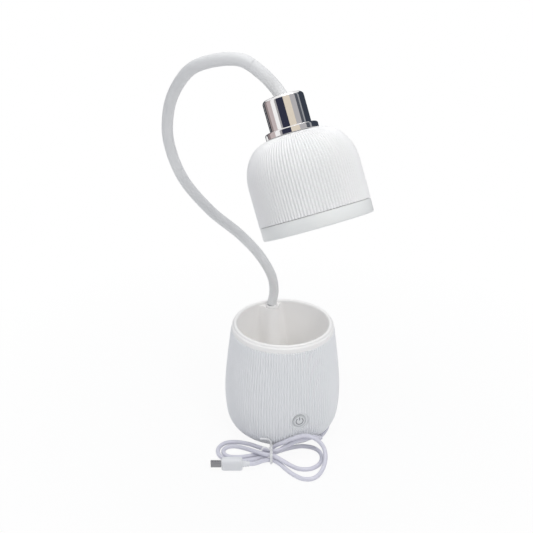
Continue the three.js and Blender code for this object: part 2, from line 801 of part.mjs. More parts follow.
part(lamp, 'touch_lead', innerLead([
  [0, touch_board_thickness + clearance * 2 - recess_back, pad_height],
  [0, touch_board_thickness + 2.2 - recess_back, pad_height],
  [2, 6 - recess_back, pad_height - 5],
  [12, 8 - recess_back, 27],
  [32, -22, 24],
  [37, 5, 24],
  [30, 24, 22],
  [19, board_middle, board_top + 5],
  [board_width / 2 - 3, board_middle, board_top + 2],
  [board_width / 2 - 4, board_middle, board_top + lead_radius / 2],
], 16), lead_red);

// USB lead: a hank drawn in at its waist, which lies at the foot in front of the base.
// The hank's frame has the tie's centre as origin and +X along the hank.
const cable_radius = cable_diameter / 2;
const bundle_turn = -16;
const bundle_reach = 58.4;
const bundle_side = -11.4;
bundle.rotation.z = bundle_turn * degree;
bundle.position.set(bundle_side, -bundle_reach, 0).applyAxisAngle(new THREE.Vector3(0, 0, 1), bundle_turn * degree);

const hank_sides = 6;
const end_sides = 8;
const hank_step = 5;
const end_step = 6;
const lead_end = 10;
const tail_start = 500;

// The cable's middle line, in the hank's frame: from the small plug through the outer
// right loop, which leans on the base, the inner left, the inner right and the outer left
// loop, then under the first loop and round the foot of the base to the large plug
const cable_route = [
  [-17.1, -11.6, 5.8], [-14.3, -11.6, 5.8], [-10.2, -8.8, 4.9], [-5, -4.6, 3.6],
  [1.7, -3.4, 3.1], [8, -7.4, 2.5], [13.4, -13.8, 1.95], [19.2, -20.4, 1.85],
  [27, -26, 1.9], [34.8, -26.6, 2.1], [41.4, -22.2, 3.1], [46.1, -13.6, 5.4],
  [47.9, -4.4, 9.2], [46.1, 1.3, 13.8], [40.8, 4.7, 18.4], [31.6, 6.1, 21.8],
  [21.7, 4.9, 20.4], [11.2, 5.8, 14.6], [3.8, 8.5, 8.6], [-1.9, 8.4, 3.4],
  [-8.5, 6.4, 2], [-17, 3.9, 1.9], [-25.4, 2.2, 1.85], [-33, 2.1, 1.85],
  [-39, 4.6, 1.85], [-41.3, 9.9, 1.85], [-38.9, 15.1, 1.85], [-33, 17.1, 1.85],
  [-26.2, 14.9, 2.4], [-19.4, 9.4, 4.6], [-11, 2.2, 7.1], [-3.8, -1.2, 7.5],
  [3.3, -3.4, 7.4], [11, -8.4, 6.2], [18, -12, 4], [25.1, -14, 2.2],
  [34.9, -13.4, 1.85], [42.5, -7.4, 1.85], [45.4, 1.9, 1.85], [43.6, 9.7, 1.85],
  [38.2, 15, 1.85], [28.5, 17.1, 1.85], [20.5, 15.6, 1.85], [12.5, 12, 2.2],
  [5.5, 7.6, 2.9], [-0.6, 3.9, 3.1], [-8.6, 0.6, 2.4], [-17.4, -1.8, 1.9],
  [-26, -2.9, 1.85], [-34.4, -2.6, 1.85], [-41.8, 1.1, 1.85], [-45.9, 8.2, 1.85],
  [-45.2, 15.8, 1.85], [-40, 21.6, 1.85], [-31.8, 23.1, 1.85], [-20.3, 19.8, 2.6],
  [-9.1, 10.4, 5.7], [-1, 4.5, 7.3], [6.8, 4, 7.5], [13.3, 5.6, 10.2],
  [21.8, 6.5, 14.9], [29, 8.2, 16.2], [36, 11.1, 16.1], [41, 14.2, 13.9],
  [43.4, 18.2, 10.4], [45.2, 22, 7.1], [46.1, 27.2, 4.2], [47.3, 32.2, 2.4],
  [51.2, 40, 1.85], [54.1, 49.3, 1.85], [55, 58, 1.85], [54.2, 66.8, 1.85],
  [51.4, 76.3, 1.85], [47.2, 86, 1.85], [41, 96.5, 1.85], [36.5, 105.5, 2.1],
  [32.5, 113, 2.9], [28, 118.4, 3.6], [24, 121.3, 3.9], [20.3, 121.4, 3.9],
];

const cable_curve = new THREE.CatmullRomCurve3(cable_route.map((p) => new THREE.Vector3(...p)));
cable_curve.arcLengthDivisions = 2000;
const cable_length = cable_curve.getLength();

// The tube of the cable between two lengths along it
function cableStretch(from, to, sides, step) {
  const steps = Math.ceil((to - from) / step);
  const points = [];
  for (let i = 0; i <= steps; i += 1) {
    const along = from + ((to - from) * i) / steps;
    points.push(cable_curve.getPointAt(along / cable_length).toArray());
  }
  return tubeAlong(points, cable_radius, sides, steps);
}

// The least gap between points of the cable that are more than `skip` points apart along it
function leastGap(points, diameter, skip) {
  let least = Infinity;
  for (let i = 0; i < points.length; i += 1) {
    for (let k = i + skip; k < points.length; k += 1) {
      least = Math.min(least, points[i].distanceTo(points[k]));
    }
  }
  return least - diameter;
}
const gap_points = 900;
const gap_skip = 20;
console.log('cable: length', cable_length.toFixed(1),
  'least gap', leastGap(cable_curve.getSpacedPoints(gap_points), cable_diameter, gap_skip).toFixed(2));

part(bundle, 'usb_hank', cableStretch(lead_end + clearance, tail_start, hank_sides, hank_step), cable_white);

// The plugs: the small one lies at the waist, the large one behind the base
const small_plug_line = -11.6;
const small_plug_axis = 5.8;
const small_grip = { from: -41.6, length: 18, width: 7, height: 11, round: 1.8 };
const small_shell = { length: 9, width: 1.9, height: 6.9, wall: 0.3, round: 0.5 };
const relief = { length: 6.5, radius: 2.6, tip: 2.2 };
const large_plug_line = 121.4;
const large_plug_axis = 3.9;
const large_grip = { from: -6.5, length: 20, width: 15, height: 7.6, round: 2.2 };
const large_shell = { length: 14, width: 12, height: 4.5, wall: 0.4, round: 0.4 };
const tongue = { width: 10.6, height: 1.6 };
const large_relief_start = large_grip.from + large_grip.length;

// A bar along X with a rounded section
function roundedBar(from, length, width, height, round, side, axis) {
  const [w, h] = [width / 2, height / 2];
  const section = new THREE.Shape();
  section.moveTo(round - w, -h);
  section.lineTo(w - round, -h);
  section.quadraticCurveTo(w, -h, w, round - h);
  section.lineTo(w, h - round);
  section.quadraticCurveTo(w, h, w - round, h);
  section.lineTo(round - w, h);
  section.quadraticCurveTo(-w, h, -w, h - round);
  section.lineTo(-w, round - h);
  section.quadraticCurveTo(-w, -h, round - w, -h);
  return new THREE.ExtrudeGeometry(section, { depth: length, bevelEnabled: false, curveSegments: 2 })
    .rotateX(Math.PI / 2).rotateZ(Math.PI / 2).translate(from, side, axis);
}

function reliefCone(from, length, near, far, side, axis) {
  return revolve([[0, 0], [near, 0], [far, length], [0, length]], small_sides)
    .rotateY(Math.PI / 2).translate(from, side, axis);
}

function smallPlugGrip() {
  const { from, length, width, height, round } = small_grip;
  const body = roundedBar(from, length, width, height, round, small_plug_line, small_plug_axis);
  const cone = reliefCone(from + length - clearance, relief.length + clearance, relief.radius, relief.tip,
    small_plug_line, small_plug_axis);
  return join(body, cone);
}

function smallPlugShell() {
  const { length, width, height, wall, round } = small_shell;
  const from = small_grip.from - clearance - length;
  const body = roundedBar(from, length, width, height, round, small_plug_line, small_plug_axis);
  const mouth = roundedBar(from - overrun, length, width - wall * 2, height - wall * 2, wall, small_plug_line, small_plug_axis);
  return cut(body, mouth);
}

function largePlugGrip() {
  const { from, length, width, height, round } = large_grip;
  const body = roundedBar(from, length, width, height, round, large_plug_line, large_plug_axis);
  const cone = reliefCone(large_relief_start - clearance, relief.length + clearance, relief.radius, relief.tip,
    large_plug_line, large_plug_axis);
  const blade = block(large_shell.length, tongue.width, tongue.height, from - large_shell.length / 2 + clearance,
    large_plug_line, large_plug_axis);
  return join(body, cone, blade);
}

function largePlugShell() {
  const { length, width, height, wall, round } = large_shell;
  const from = large_grip.from - clearance - length;
  const body = roundedBar(from, length, width, height, round, large_plug_line, large_plug_axis);
  const mouth = roundedBar(from - overrun, length + overrun * 2, width - wall * 2, height - wall * 2, wall,
    large_plug_line, large_plug_axis);
  return cut(body, mouth);
}

// The tie's flat loop round the waist, with its free tail and its hooked end
const tie = { place: 1, width: 2.4, thickness: 0.9, from: -6.9, to: 11.4, height: 10.9, tail_radius: 0.8, hook_radius: 0.55 };
const tie_tail_route = [
  [1, 9, 10.45], [0.6, 8.1, 14], [-1.4, 7.9, 16.4], [-4.6, 7.6, 17.2], [-8.8, 7.6, 17.3],
];
const tie_hook_route = [
  [1, 0, 10.45], [-1, 0.6, 12], [-4, 2, 12.6], [-6.5, 1.6, 12.1], [-7.2, 0, 11.4],
];
const tie_end_steps = 8;

function cableTie() {
  const { place, width, thickness, from, to, height } = tie;
  const middle = (from + to) / 2;
  const band = roundedBar(place - width / 2, width, to - from, height, cable_radius, middle, height / 2);
  const hollow = roundedBar(place - width, width * 2, to - from - thickness * 2, height - thickness * 2,
    cable_radius - thickness, middle, height / 2);
  const tail = tubeAlong(tie_tail_route, tie.tail_radius, hank_sides, tie_end_steps);
  const hook = tubeAlong(tie_hook_route, tie.hook_radius, hank_sides, tie_end_steps);
  return join(cut(band, hollow), tail, hook);
}

part(bundle, 'usb_lead', cableStretch(clearance * 2, lead_end, end_sides, end_step), cable_white);
part(bundle, 'usb_tail', cableStretch(tail_start + clearance, cable_length - clearance, end_sides, end_step), cable_white);
part(bundle, 'micro_plug_grip', smallPlugGrip(), plug_grey);
part(bundle, 'micro_plug_shell', smallPlugShell(), socket_steel);
part(bundle, 'usb_plug_grip', largePlugGrip(), plug_grey);
part(bundle, 'usb_plug_shell', largePlugShell(), socket_steel);
part(bundle, 'cable_tie', cableTie(), smooth_white);

export default lamp;
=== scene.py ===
"""Touch table lamp: looks, floor, light and camera over the fixed frame.

Shapes are written in millimetres in the lamp's own frame and turned into metres when
a piece is finished. The touch pad faces -Y and the neck rises at +Y."""
import json
import math

import bmesh
import bpy
from mathutils import Matrix, Vector


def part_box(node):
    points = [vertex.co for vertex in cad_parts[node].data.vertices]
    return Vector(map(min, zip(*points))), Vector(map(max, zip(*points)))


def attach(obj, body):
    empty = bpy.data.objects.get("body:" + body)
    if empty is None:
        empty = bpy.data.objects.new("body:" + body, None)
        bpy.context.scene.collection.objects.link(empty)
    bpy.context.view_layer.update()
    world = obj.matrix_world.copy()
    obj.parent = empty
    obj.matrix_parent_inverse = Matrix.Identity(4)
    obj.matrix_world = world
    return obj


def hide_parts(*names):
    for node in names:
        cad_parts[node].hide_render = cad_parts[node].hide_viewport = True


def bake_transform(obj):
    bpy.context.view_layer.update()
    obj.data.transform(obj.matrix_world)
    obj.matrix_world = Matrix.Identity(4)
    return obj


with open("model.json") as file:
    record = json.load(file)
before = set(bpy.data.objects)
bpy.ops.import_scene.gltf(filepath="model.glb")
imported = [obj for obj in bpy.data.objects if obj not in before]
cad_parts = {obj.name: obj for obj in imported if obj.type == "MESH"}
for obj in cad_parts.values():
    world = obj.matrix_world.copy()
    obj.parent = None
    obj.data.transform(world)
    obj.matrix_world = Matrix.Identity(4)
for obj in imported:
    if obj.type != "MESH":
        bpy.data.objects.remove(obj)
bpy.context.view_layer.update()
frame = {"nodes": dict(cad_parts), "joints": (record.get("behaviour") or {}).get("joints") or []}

MM = 0.001
TURN = 2 * math.pi
scene = bpy.context.scene

# ---------------------------------------------------------------- camera
# Place, aim and lens as fitted to the base and the rim of the cup
view_turn = math.radians(-16)
view_tilt = math.radians(24.6)
camera_data = bpy.data.cameras.new("camera")
camera_data.sensor_width = 36
camera_data.lens = 50.66
camera_data.clip_start = 0.01
camera = bpy.data.objects.new("camera", camera_data)
camera.location = Vector((-174.9, -557.4, 427)) * MM
camera.rotation_euler = (math.pi / 2 - view_tilt, 0, view_turn)
scene.collection.objects.link(camera)
scene.camera = camera
scene.view_settings.view_transform = "Standard"


# ---------------------------------------------------------------- finishes
def finish_nodes(name):
    """A new material, its node tree and its shader."""
    material = bpy.data.materials.new(name)
    material.use_nodes = True
    tree = material.node_tree
    return material, tree, tree.nodes["Principled BSDF"]


def link(tree, source, target):
    """Joins an output to an input."""
    tree.links.new(source, target)


def object_place(tree, scale=(1, 1, 1)):
    """Object coordinates, stretched by scale."""
    where = tree.nodes.new("ShaderNodeTexCoord")
    mapping = tree.nodes.new("ShaderNodeMapping")
    mapping.inputs["Scale"].default_value = scale
    link(tree, where.outputs["Object"], mapping.inputs["Vector"])
    return mapping.outputs["Vector"]


def noise(tree, place, scale, detail=3.0, roughness=0.5):
    """Uneven grey from 0 to 1, with about scale lumps to the metre."""
    grain = tree.nodes.new("ShaderNodeTexNoise")
    grain.inputs["Scale"].default_value = scale
    grain.inputs["Detail"].default_value = detail
    grain.inputs["Roughness"].default_value = roughness
    link(tree, place, grain.inputs["Vector"])
    return grain.outputs["Fac"]


def spread(tree, value, low, high, start=0.3, end=0.7):
    """A value from start to end spread over low to high."""
    ramp = tree.nodes.new("ShaderNodeMapRange")
    ramp.inputs["From Min"].default_value = start
    ramp.inputs["From Max"].default_value = end
    ramp.inputs["To Min"].default_value = low
    ramp.inputs["To Max"].default_value = high
    link(tree, value, ramp.inputs["Value"])
    return ramp.outputs["Result"]


def shade_between(tree, value, first, second):
    """The first colour where the value is 0, the second where it is 1."""
    mix = tree.nodes.new("ShaderNodeMix")
    mix.data_type = "RGBA"
    mix.inputs["A"].default_value = (*first, 1)
    mix.inputs["B"].default_value = (*second, 1)
    link(tree, value, mix.inputs["Factor"])
    return mix.outputs["Result"]


def raised(tree, shader, height, strength, distance):
    """Fine relief on the surface; distance is in metres."""
    bump = tree.nodes.new("ShaderNodeBump")
    bump.inputs["Strength"].default_value = strength
    bump.inputs["Distance"].default_value = distance
    link(tree, height, bump.inputs["Height"])
    link(tree, bump.outputs["Normal"], shader.inputs["Normal"])


def moulded(name, color, tint, roughness, grain_scale=2600, grain=0.01, coat=0.0,
            translucent=0.0):
    """Moulded plastic: a fine grain, a slow drift of colour and uneven gloss."""
    material, tree, shader = finish_nodes(name)
    place = object_place(tree)
    drift = spread(tree, noise(tree, place, scale=28, detail=2), low=0, high=1)
    link(tree, shade_between(tree, drift, color, tint), shader.inputs["Base Color"])
    gloss = spread(tree, noise(tree, place, scale=160), roughness - 0.05, roughness + 0.06)
    link(tree, gloss, shader.inputs["Roughness"])
    powder = noise(tree, place, grain_scale, detail=2)
    raised(tree, shader, powder, strength=grain, distance=0.0001)
    shader.inputs["Coat Weight"].default_value = coat
    shader.inputs["Coat Roughness"].default_value = 0.2
    if translucent:
        shader.inputs["Subsurface Weight"].default_value = translucent
        shader.inputs["Subsurface Radius"].default_value = (0.004, 0.004, 0.0045)
        shader.inputs["Subsurface Scale"].default_value = 0.6
    return material


def metal(name, color, tint, roughness, streaks=(60, 60, 900), wear=0.05):
    """Metal with fine drawn streaks in its colour and gloss."""
    material, tree, shader = finish_nodes(name)
    streak = noise(tree, object_place(tree, streaks), scale=1, detail=4, roughness=0.6)
    drift = spread(tree, streak, low=0, high=1)
    link(tree, shade_between(tree, drift, color, tint), shader.inputs["Base Color"])
    gloss = spread(tree, streak, max(0.02, roughness - wear), roughness + wear)
    link(tree, gloss, shader.inputs["Roughness"])
    shader.inputs["Metallic"].default_value = 1
    polish = noise(tree, object_place(tree), scale=3000, detail=2)
    raised(tree, shader, polish, strength=0.002, distance=0.00005)
    return material


def sleeve_finish(name, color, tint):
    """Soft matt sleeve with a fine powdery grain and a little sheen."""
    material, tree, shader = finish_nodes(name)
    place = object_place(tree)
    drift = spread(tree, noise(tree, place, scale=60), low=0, high=1)
    link(tree, shade_between(tree, drift, color, tint), shader.inputs["Base Color"])
    gloss = spread(tree, noise(tree, place, scale=300, detail=2), low=0.5, high=0.64)
    link(tree, gloss, shader.inputs["Roughness"])
    powder = noise(tree, place, scale=2600, detail=2)
    raised(tree, shader, powder, strength=0.005, distance=0.0001)
    shader.inputs["Sheen Weight"].default_value = 0.12
    shader.inputs["Sheen Roughness"].default_value = 0.5
    return material


def board_finish(name, color, trace_color):
    """Solder mask with a brick-like net of copper tracks under it."""
    material, tree, shader = finish_nodes(name)
    place = object_place(tree)
    tracks = tree.nodes.new("ShaderNodeTexBrick")
    tracks.inputs["Scale"].default_value = 260
    tracks.inputs["Mortar Size"].default_value = 0.03
    tracks.inputs["Color1"].default_value = (*color, 1)
    tracks.inputs["Color2"].default_value = (*[c * 0.92 for c in color], 1)
    tracks.inputs["Mortar"].default_value = (*trace_color, 1)
    link(tree, place, tracks.inputs["Vector"])
    link(tree, tracks.outputs["Color"], shader.inputs["Base Color"])
    gloss = spread(tree, noise(tree, place, scale=200, detail=2), low=0.3, high=0.42)
    link(tree, gloss, shader.inputs["Roughness"])
    raised(tree, shader, tracks.outputs["Fac"], strength=0.1, distance=0.0001)
    return material


housing_finish = moulded("ribbed white housing", (0.86, 0.868, 0.878), (0.845, 0.857, 0.866), 0.42)
shade_finish = moulded("ribbed white shade", (0.92, 0.918, 0.912), (0.905, 0.904, 0.898), 0.4)
# The cup's white is raised to make up for the shade that falls inside the cup: painted light, which
# the neck ring shares.
cup_white_lightened = moulded("smooth white cup with painted light", (0.955, 0.943, 0.925), (0.945, 0.932, 0.915), 0.45)
bezel_finish = moulded("off-white ring", (0.855, 0.868, 0.852), (0.84, 0.853, 0.838), 0.42)
lens_finish = moulded("frosted lens", (0.93, 0.93, 0.9), (0.91, 0.91, 0.88), 0.5,
                      grain_scale=3000, grain=0.1, translucent=0.3)
neck_finish = sleeve_finish("soft white sleeve", (0.8, 0.805, 0.8), (0.77, 0.775, 0.775))
chrome_finish = metal("bright chrome", (0.88, 0.87, 0.87), (0.84, 0.83, 0.835), 0.05,
                      streaks=(300, 300, 300), wear=0.02)
touch_finish = moulded("touch pad grey", (0.6, 0.615, 0.62), (0.57, 0.585, 0.59), 0.3)
symbol_finish = moulded("touch symbol grey", (0.27, 0.28, 0.29), (0.25, 0.26, 0.27), 0.4)
halo_finish = moulded("touch pad pale disc", (0.8, 0.81, 0.815), (0.78, 0.79, 0.8), 0.3)
rubber_finish = moulded("dark foot rubber", (0.035, 0.035, 0.037), (0.05, 0.05, 0.052), 0.8,
                        grain_scale=2200, grain=0.3)
cable_finish = moulded("cool white jacket", (0.74, 0.735, 0.81), (0.71, 0.705, 0.785), 0.42)
grip_finish = moulded("plug grip grey-white", (0.82, 0.828, 0.845), (0.8, 0.808, 0.825), 0.42,
                      grain=0.02)
tie_finish = moulded("white tie coating", (0.86, 0.86, 0.86), (0.83, 0.83, 0.84), 0.3)
plug_metal = metal("nickel plug shell", (0.3, 0.3, 0.31), (0.22, 0.22, 0.24), 0.18)
tongue_finish = moulded("black plug tongue", (0.02, 0.02, 0.022), (0.03, 0.03, 0.03), 0.45)
contact_finish = metal("gold contacts", (0.8, 0.6, 0.25), (0.72, 0.52, 0.2), 0.25)
steel_finish = metal("plated steel", (0.56, 0.57, 0.58), (0.45, 0.46, 0.48), 0.34)
cradle_finish = moulded("black cradle", (0.03, 0.03, 0.032), (0.045, 0.045, 0.048), 0.55,
                        grain_scale=2400, grain=0.2)
cell_finish = moulded("blue cell wrap", (0.06, 0.17, 0.42), (0.05, 0.14, 0.37), 0.26,
                      grain_scale=2400, grain=0.05, coat=0.3)
green_board = board_finish("green board", (0.03, 0.16, 0.07), (0.06, 0.24, 0.1))
white_board = board_finish("white board", (0.86, 0.86, 0.84), (0.78, 0.77, 0.74))
lead_finish = moulded("red lead jacket", (0.5, 0.035, 0.03), (0.42, 0.03, 0.028), 0.4, grain=0.1)


# ---------------------------------------------------------------- making pieces
merge_distance = 0.0005
crease_angle = 38


def as_data(name, shape):
    """The mesh of a shape, which is used up by it."""
    mesh = bpy.data.meshes.new(name)
    shape.to_mesh(mesh)
    shape.free()
    return mesh


def in_scene(name, data):
    """A new object of that name in the scene."""
    piece = bpy.data.objects.new(name, data)
    scene.collection.objects.link(piece)
    return piece


def finished(name, shape, material, body, stands_for=(), place=None, crease=crease_angle):
    """Turns a shape in millimetres into a piece in metres that rides on a body."""
    bmesh.ops.remove_doubles(shape, verts=shape.verts, dist=merge_distance)
    bmesh.ops.recalc_face_normals(shape, faces=shape.faces)
    if place is not None:
        bmesh.ops.transform(shape, matrix=place, verts=shape.verts)
    bmesh.ops.scale(shape, vec=(MM, MM, MM), verts=shape.verts)
    mesh = as_data(name, shape)
    piece = in_scene(name, mesh)
    mesh.materials.append(material)
    mesh.shade_smooth()
    mesh.set_sharp_from_angle(angle=math.radians(crease))
    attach(piece, body)
    if stands_for:
        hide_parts(*stands_for)
    return piece


def chain(points, close=False):
    """Vertices joined in a row, ready to be spun or extruded."""
    shape = bmesh.new()
    corners = [shape.verts.new(p) for p in points]
    for a, b in zip(corners, corners[1:]):
        shape.edges.new((a, b))
    if close:
        shape.edges.new((corners[-1], corners[0]))
    return shape


def turned(profile, steps, close=False):
    """A profile of (radius, height) turned about the Z axis."""
    shape = chain([(radius, 0, height) for radius, height in profile], close)
    bmesh.ops.spin(shape, geom=shape.verts[:] + shape.edges[:], cent=(0, 0, 0), axis=(0, 0, 1),
                   dvec=(0, 0, 0), angle=TURN, steps=steps, use_merge=True)
    bmesh.ops.remove_doubles(shape, verts=shape.verts, dist=merge_distance)
    return shape


def rounded_bar(length, width, height, corner, segments=4, long_edges_only=False):
    """A block along X with rounded edges, centred on the origin."""
    shape = bmesh.new()
    bmesh.ops.create_cube(shape, size=1)
    bmesh.ops.scale(shape, vec=(length, width, height), verts=shape.verts)
    edges = shape.edges[:]
    if long_edges_only:
        edges = [e for e in edges if abs(e.verts[0].co.x - e.verts[1].co.x) > length / 2]
    bmesh.ops.bevel(shape, geom=edges, offset=corner, offset_type="OFFSET", segments=segments,
                    profile=0.5, affect="EDGES", material=-1)
    return shape


def moved(shape, x, y, z):
    """The same shape, shifted."""
    bmesh.ops.translate(shape, vec=(x, y, z), verts=shape.verts)
    return shape


def add_shape(shape, other):
    """Puts another shape into the first one, and uses it up."""
    mesh = as_data("joined", other)
    shape.from_mesh(mesh)
    bpy.data.meshes.remove(mesh)
    return shape


def smooth_route(points, per_span):
    """Points along a centripetal Catmull-Rom curve through the given ones."""
    line = [Vector(p) for p in points]
    line = [line[0] * 2 - line[1], *line, line[-1] * 2 - line[-2]]
    found = []
    for a, b, c, d in zip(line, line[1:], line[2:], line[3:]):
        first, middle, last = ((b - a).length ** 0.5, (c - b).length ** 0.5,
                               (d - c).length ** 0.5)
        leave = ((b - a) / first - (c - a) / (first + middle) + (c - b) / middle) * middle
        arrive = ((c - b) / middle - (d - b) / (middle + last) + (d - c) / last) * middle
        for step in range(per_span):
            t = step / per_span
            found.append(b + leave * t + (3 * (c - b) - 2 * leave - arrive) * t ** 2
                         + (2 * (b - c) + leave + arrive) * t ** 3)
    found.append(line[-2].copy())
    return found


def line_curve(name, points, radius, roundness=4, caps=True):
    """A round wire along points given in millimetres."""
    data = bpy.data.curves.new(name, "CURVE")
    data.dimensions = "3D"
    data.bevel_depth = radius * MM
    data.bevel_resolution = roundness
    data.use_fill_caps = caps
    spline = data.splines.new("POLY")
    spline.points.add(len(points) - 1)
    for knot, p in zip(spline.points, points):
        knot.co = (*(Vector(p) * MM), 1)
    spline.use_smooth = True
    return in_scene(name, data)


def evaluated_mesh(piece):
    """A new mesh of a piece as it stands, with its modifiers or thickness applied."""
    bpy.context.view_layer.update()
    graph = bpy.context.evaluated_depsgraph_get()
    return bpy.data.meshes.new_from_object(piece.evaluated_get(graph))


def as_mesh(curve_piece):
    """The same piece as a mesh."""
    mesh = evaluated_mesh(curve_piece)
    name, curve = curve_piece.name, curve_piece.data
    bpy.data.objects.remove(curve_piece)
    bpy.data.curves.remove(curve)
    mesh.name = name
    mesh.shade_smooth()
    return in_scene(name, mesh)


def cut_away(piece, tool_shape):
    """Cuts a shape in millimetres out of a finished piece."""
    bmesh.ops.scale(tool_shape, vec=(MM, MM, MM), verts=tool_shape.verts)
    bmesh.ops.recalc_face_normals(tool_shape, faces=tool_shape.faces)
    tool_mesh = as_data("cutter", tool_shape)
    tool = in_scene("cutter", tool_mesh)
    cut = piece.modifiers.new("cut", "BOOLEAN")
    cut.operation = "DIFFERENCE"
    cut.solver = "EXACT"
    cut.object = tool
    result = evaluated_mesh(piece)
    piece.modifiers.clear()
    uncut = piece.data
    piece.data = result
    bpy.data.meshes.remove(uncut)
    bpy.data.objects.remove(tool)
    bpy.data.meshes.remove(tool_mesh)


# ---------------------------------------------------------------- base
base_radius = 52.5
base_height = 106.5
base_wall = 2.6
rib_count = 128
rib_depth = 0.85
rib_foot = 2
rib_fade = 2.2
rib_roundness = 0.8
rib_top = 100.1
rib_top_radius = 46.1
steps_per_rib = 8
cut_overrun = 3
seat_gap = 0.3
foot_pad_radius = 33
foot_pad_top = 0.9
cover_underside = 1.2
cover_top = 3.6
cover_flange = 3
cover_share = 0.25
# The outline's control points, most of them shares of the base's radius and height
foot = [Vector((foot_pad_radius, cover_underside)),
        Vector((0.955 * base_radius, 0.02 * base_height)),
        Vector((0.983 * base_radius, 0.212 * base_height))]
flank = [foot[2], Vector((1.035 * base_radius, 0.43 * base_height)),
         Vector((0.94 * base_radius, 0.69 * base_height)), Vector((rib_top_radius, rib_top))]


def bezier(points, t):
    """A point at t on the curve pulled by the given points."""
    while len(points) > 1:
        points = [a.lerp(b, t) for a, b in zip(points, points[1:])]
    return points[0]


def run(points, start, end, steps):
    """Points along the part of a pulled curve from start to end."""
    return [tuple(bezier(points, start + (end - start) * i / steps)) for i in range(steps + 1)]


shell_line = run(foot, cover_share, 1, 10) + run(flank, 0, 1, 16)[1:]


def shell_radius(height):
    """The radius of the base's outside at a height."""
    for (r0, z0), (r1, z1) in zip(shell_line, shell_line[1:]):
        if height <= z1:
            return r0 + (r1 - r0) * (height - z0) / (z1 - z0)
    return rib_top_radius


def rib_wave(angle, count):
    """1 on the crest of a rounded rib and 0 in the groove."""
    return abs(math.cos(angle * count / 2)) ** rib_roundness


def draw_ribs(shape, count, depth, share_at):
    """Draws upright grooves into a turned shape, each vertex by its share of the depth."""
    for v in shape.verts:
        radius = math.hypot(v.co.x, v.co.y)
        share = share_at(radius, v.co.z)
        if share:
            inward = depth * share * (1 - rib_wave(math.atan2(v.co.y, v.co.x), count))
            v.co.x *= 1 - inward / radius
            v.co.y *= 1 - inward / radius


def base_rib_share(radius, height):
    """Nothing on the inner wall or under the foot, and a fade above it."""
    if height < rib_foot or radius < shell_radius(height) - base_wall / 2:
        return 0
    return min(1, (height - rib_foot) / rib_fade)


rim_edge = [(0, -0.9), (-0.12, -0.35), (-0.45, -0.05), (-0.8, 0)]
outside = shell_line[:-1] + [(rib_top_radius + r, rib_top + z) for r, z in rim_edge]
inside = [(r - base_wall, z) for r, z in shell_line[::5]] + [(rib_top_radius - base_wall, rib_top)]
base_shape = turned(outside + inside[::-1], rib_count * steps_per_rib, close=True)
draw_ribs(base_shape, rib_count, rib_depth, base_rib_share)
base_shell = finished("ribbed_base", base_shape, housing_finish, "base",
                      ["base_shell"])

pad_low, pad_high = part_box("touch_pad")
pad_face = -pad_low.y / MM
pad_height = (pad_low.z + pad_high.z) / 2 / MM
recess_radius = 8.35
recess_depth = 1.2
recess_face = pad_face - recess_depth


def front_facing(shape, height):
    """Turns a shape made about Z so that it faces the front at a height."""
    turn = Matrix.Rotation(math.pi / 2, 3, "X")
    bmesh.ops.rotate(shape, cent=(0, 0, 0), matrix=turn, verts=shape.verts)
    return moved(shape, 0, 0, height)


recess_tool = turned([
    (0, recess_face), (recess_radius - 0.5, recess_face), (recess_radius, recess_face + 0.5),
    (recess_radius + 0.1, recess_face + 0.9), (recess_radius + 1.4, base_radius + cut_overrun),
    (0, base_radius + cut_overrun)], 96)
cut_away(base_shell, front_facing(recess_tool, pad_height))
socket_low, socket_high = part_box("charging_socket")
slot_shape = rounded_bar(length=9.4, width=12, height=4.7, corner=1.4)
cut_away(base_shell, moved(slot_shape, 0, socket_high.y / MM + 4,
                           (socket_low.z + socket_high.z) / 2 / MM))
base_shell.data.shade_smooth()
base_shell.data.set_sharp_from_angle(angle=math.radians(crease_angle))

# The floor of the recess: a flat ring behind the touch disc, so nothing shows through
seat_bore = 2.7
seat_radius = recess_radius + 1.6
seat_back = recess_face - 2
seat_front = recess_face - 0.02
seat_shape = turned([(seat_bore, seat_back), (seat_radius, seat_back), (seat_radius, seat_front),
                     (seat_bore, seat_front)], 72, close=True)
finished("touch_recess", front_facing(seat_shape, pad_height), housing_finish, "base")

cover_line = run(foot, 0, cover_share, 6)
cover_edge, cover_edge_height = cover_line[-1]
cover_shape = turned([
    (0, cover_underside), *cover_line[:-1], (cover_edge - 0.25, cover_edge_height - seat_gap),
    (cover_edge - cover_flange, cover_edge_height - seat_gap),
    (cover_edge - cover_flange, cover_top), (0, cover_top)], 128)
finished("base_cover", cover_shape, housing_finish, "base", ["bottom_cover"])
foot_shape = turned([
    (0, 0), (foot_pad_radius - 0.8, 0), (foot_pad_radius - 0.3, 0.15), (foot_pad_radius, 0.5),
    (foot_pad_radius, foot_pad_top), (0, foot_pad_top)], 128)
finished("foot_pad", foot_shape, rubber_finish, "base", ["anti_slip_pad"])

# ---------------------------------------------------------------- pen cup
cup_underside = 34.2
cup_floor = 36
cup_low, cup_low_radius = 40, 37.5
cup_high, cup_high_radius = 105.4, 40.7
cup_steps = 360
boss_top = 103.6
boss_radius = 6.2
boss_foot_radius = 15
boss_blend = 6.5
boss_reach = 14
boss_skirt = 3.4
out_of_reach = 999
neck_setback = 35.2


def wall_radius(z):
    """The radius of the cup's inner wall at a height."""
    gain = cup_high_radius - cup_low_radius
    return cup_low_radius + gain * (z - cup_low) / (cup_high - cup_low)


wall_rows = [*range(44, 100, 4), 99, 101, 102.6, 103.3, boss_top, boss_top + 0.02, 104.4]
floor_line = [(radius, cup_floor) for radius in (0, 12, 20, 26, 30, 33.5)]
floor_edge = [(35.4, 36.5), (36.9, 37.9), (cup_low_radius, cup_low)]
wall_line = [(wall_radius(z), z) for z in wall_rows]
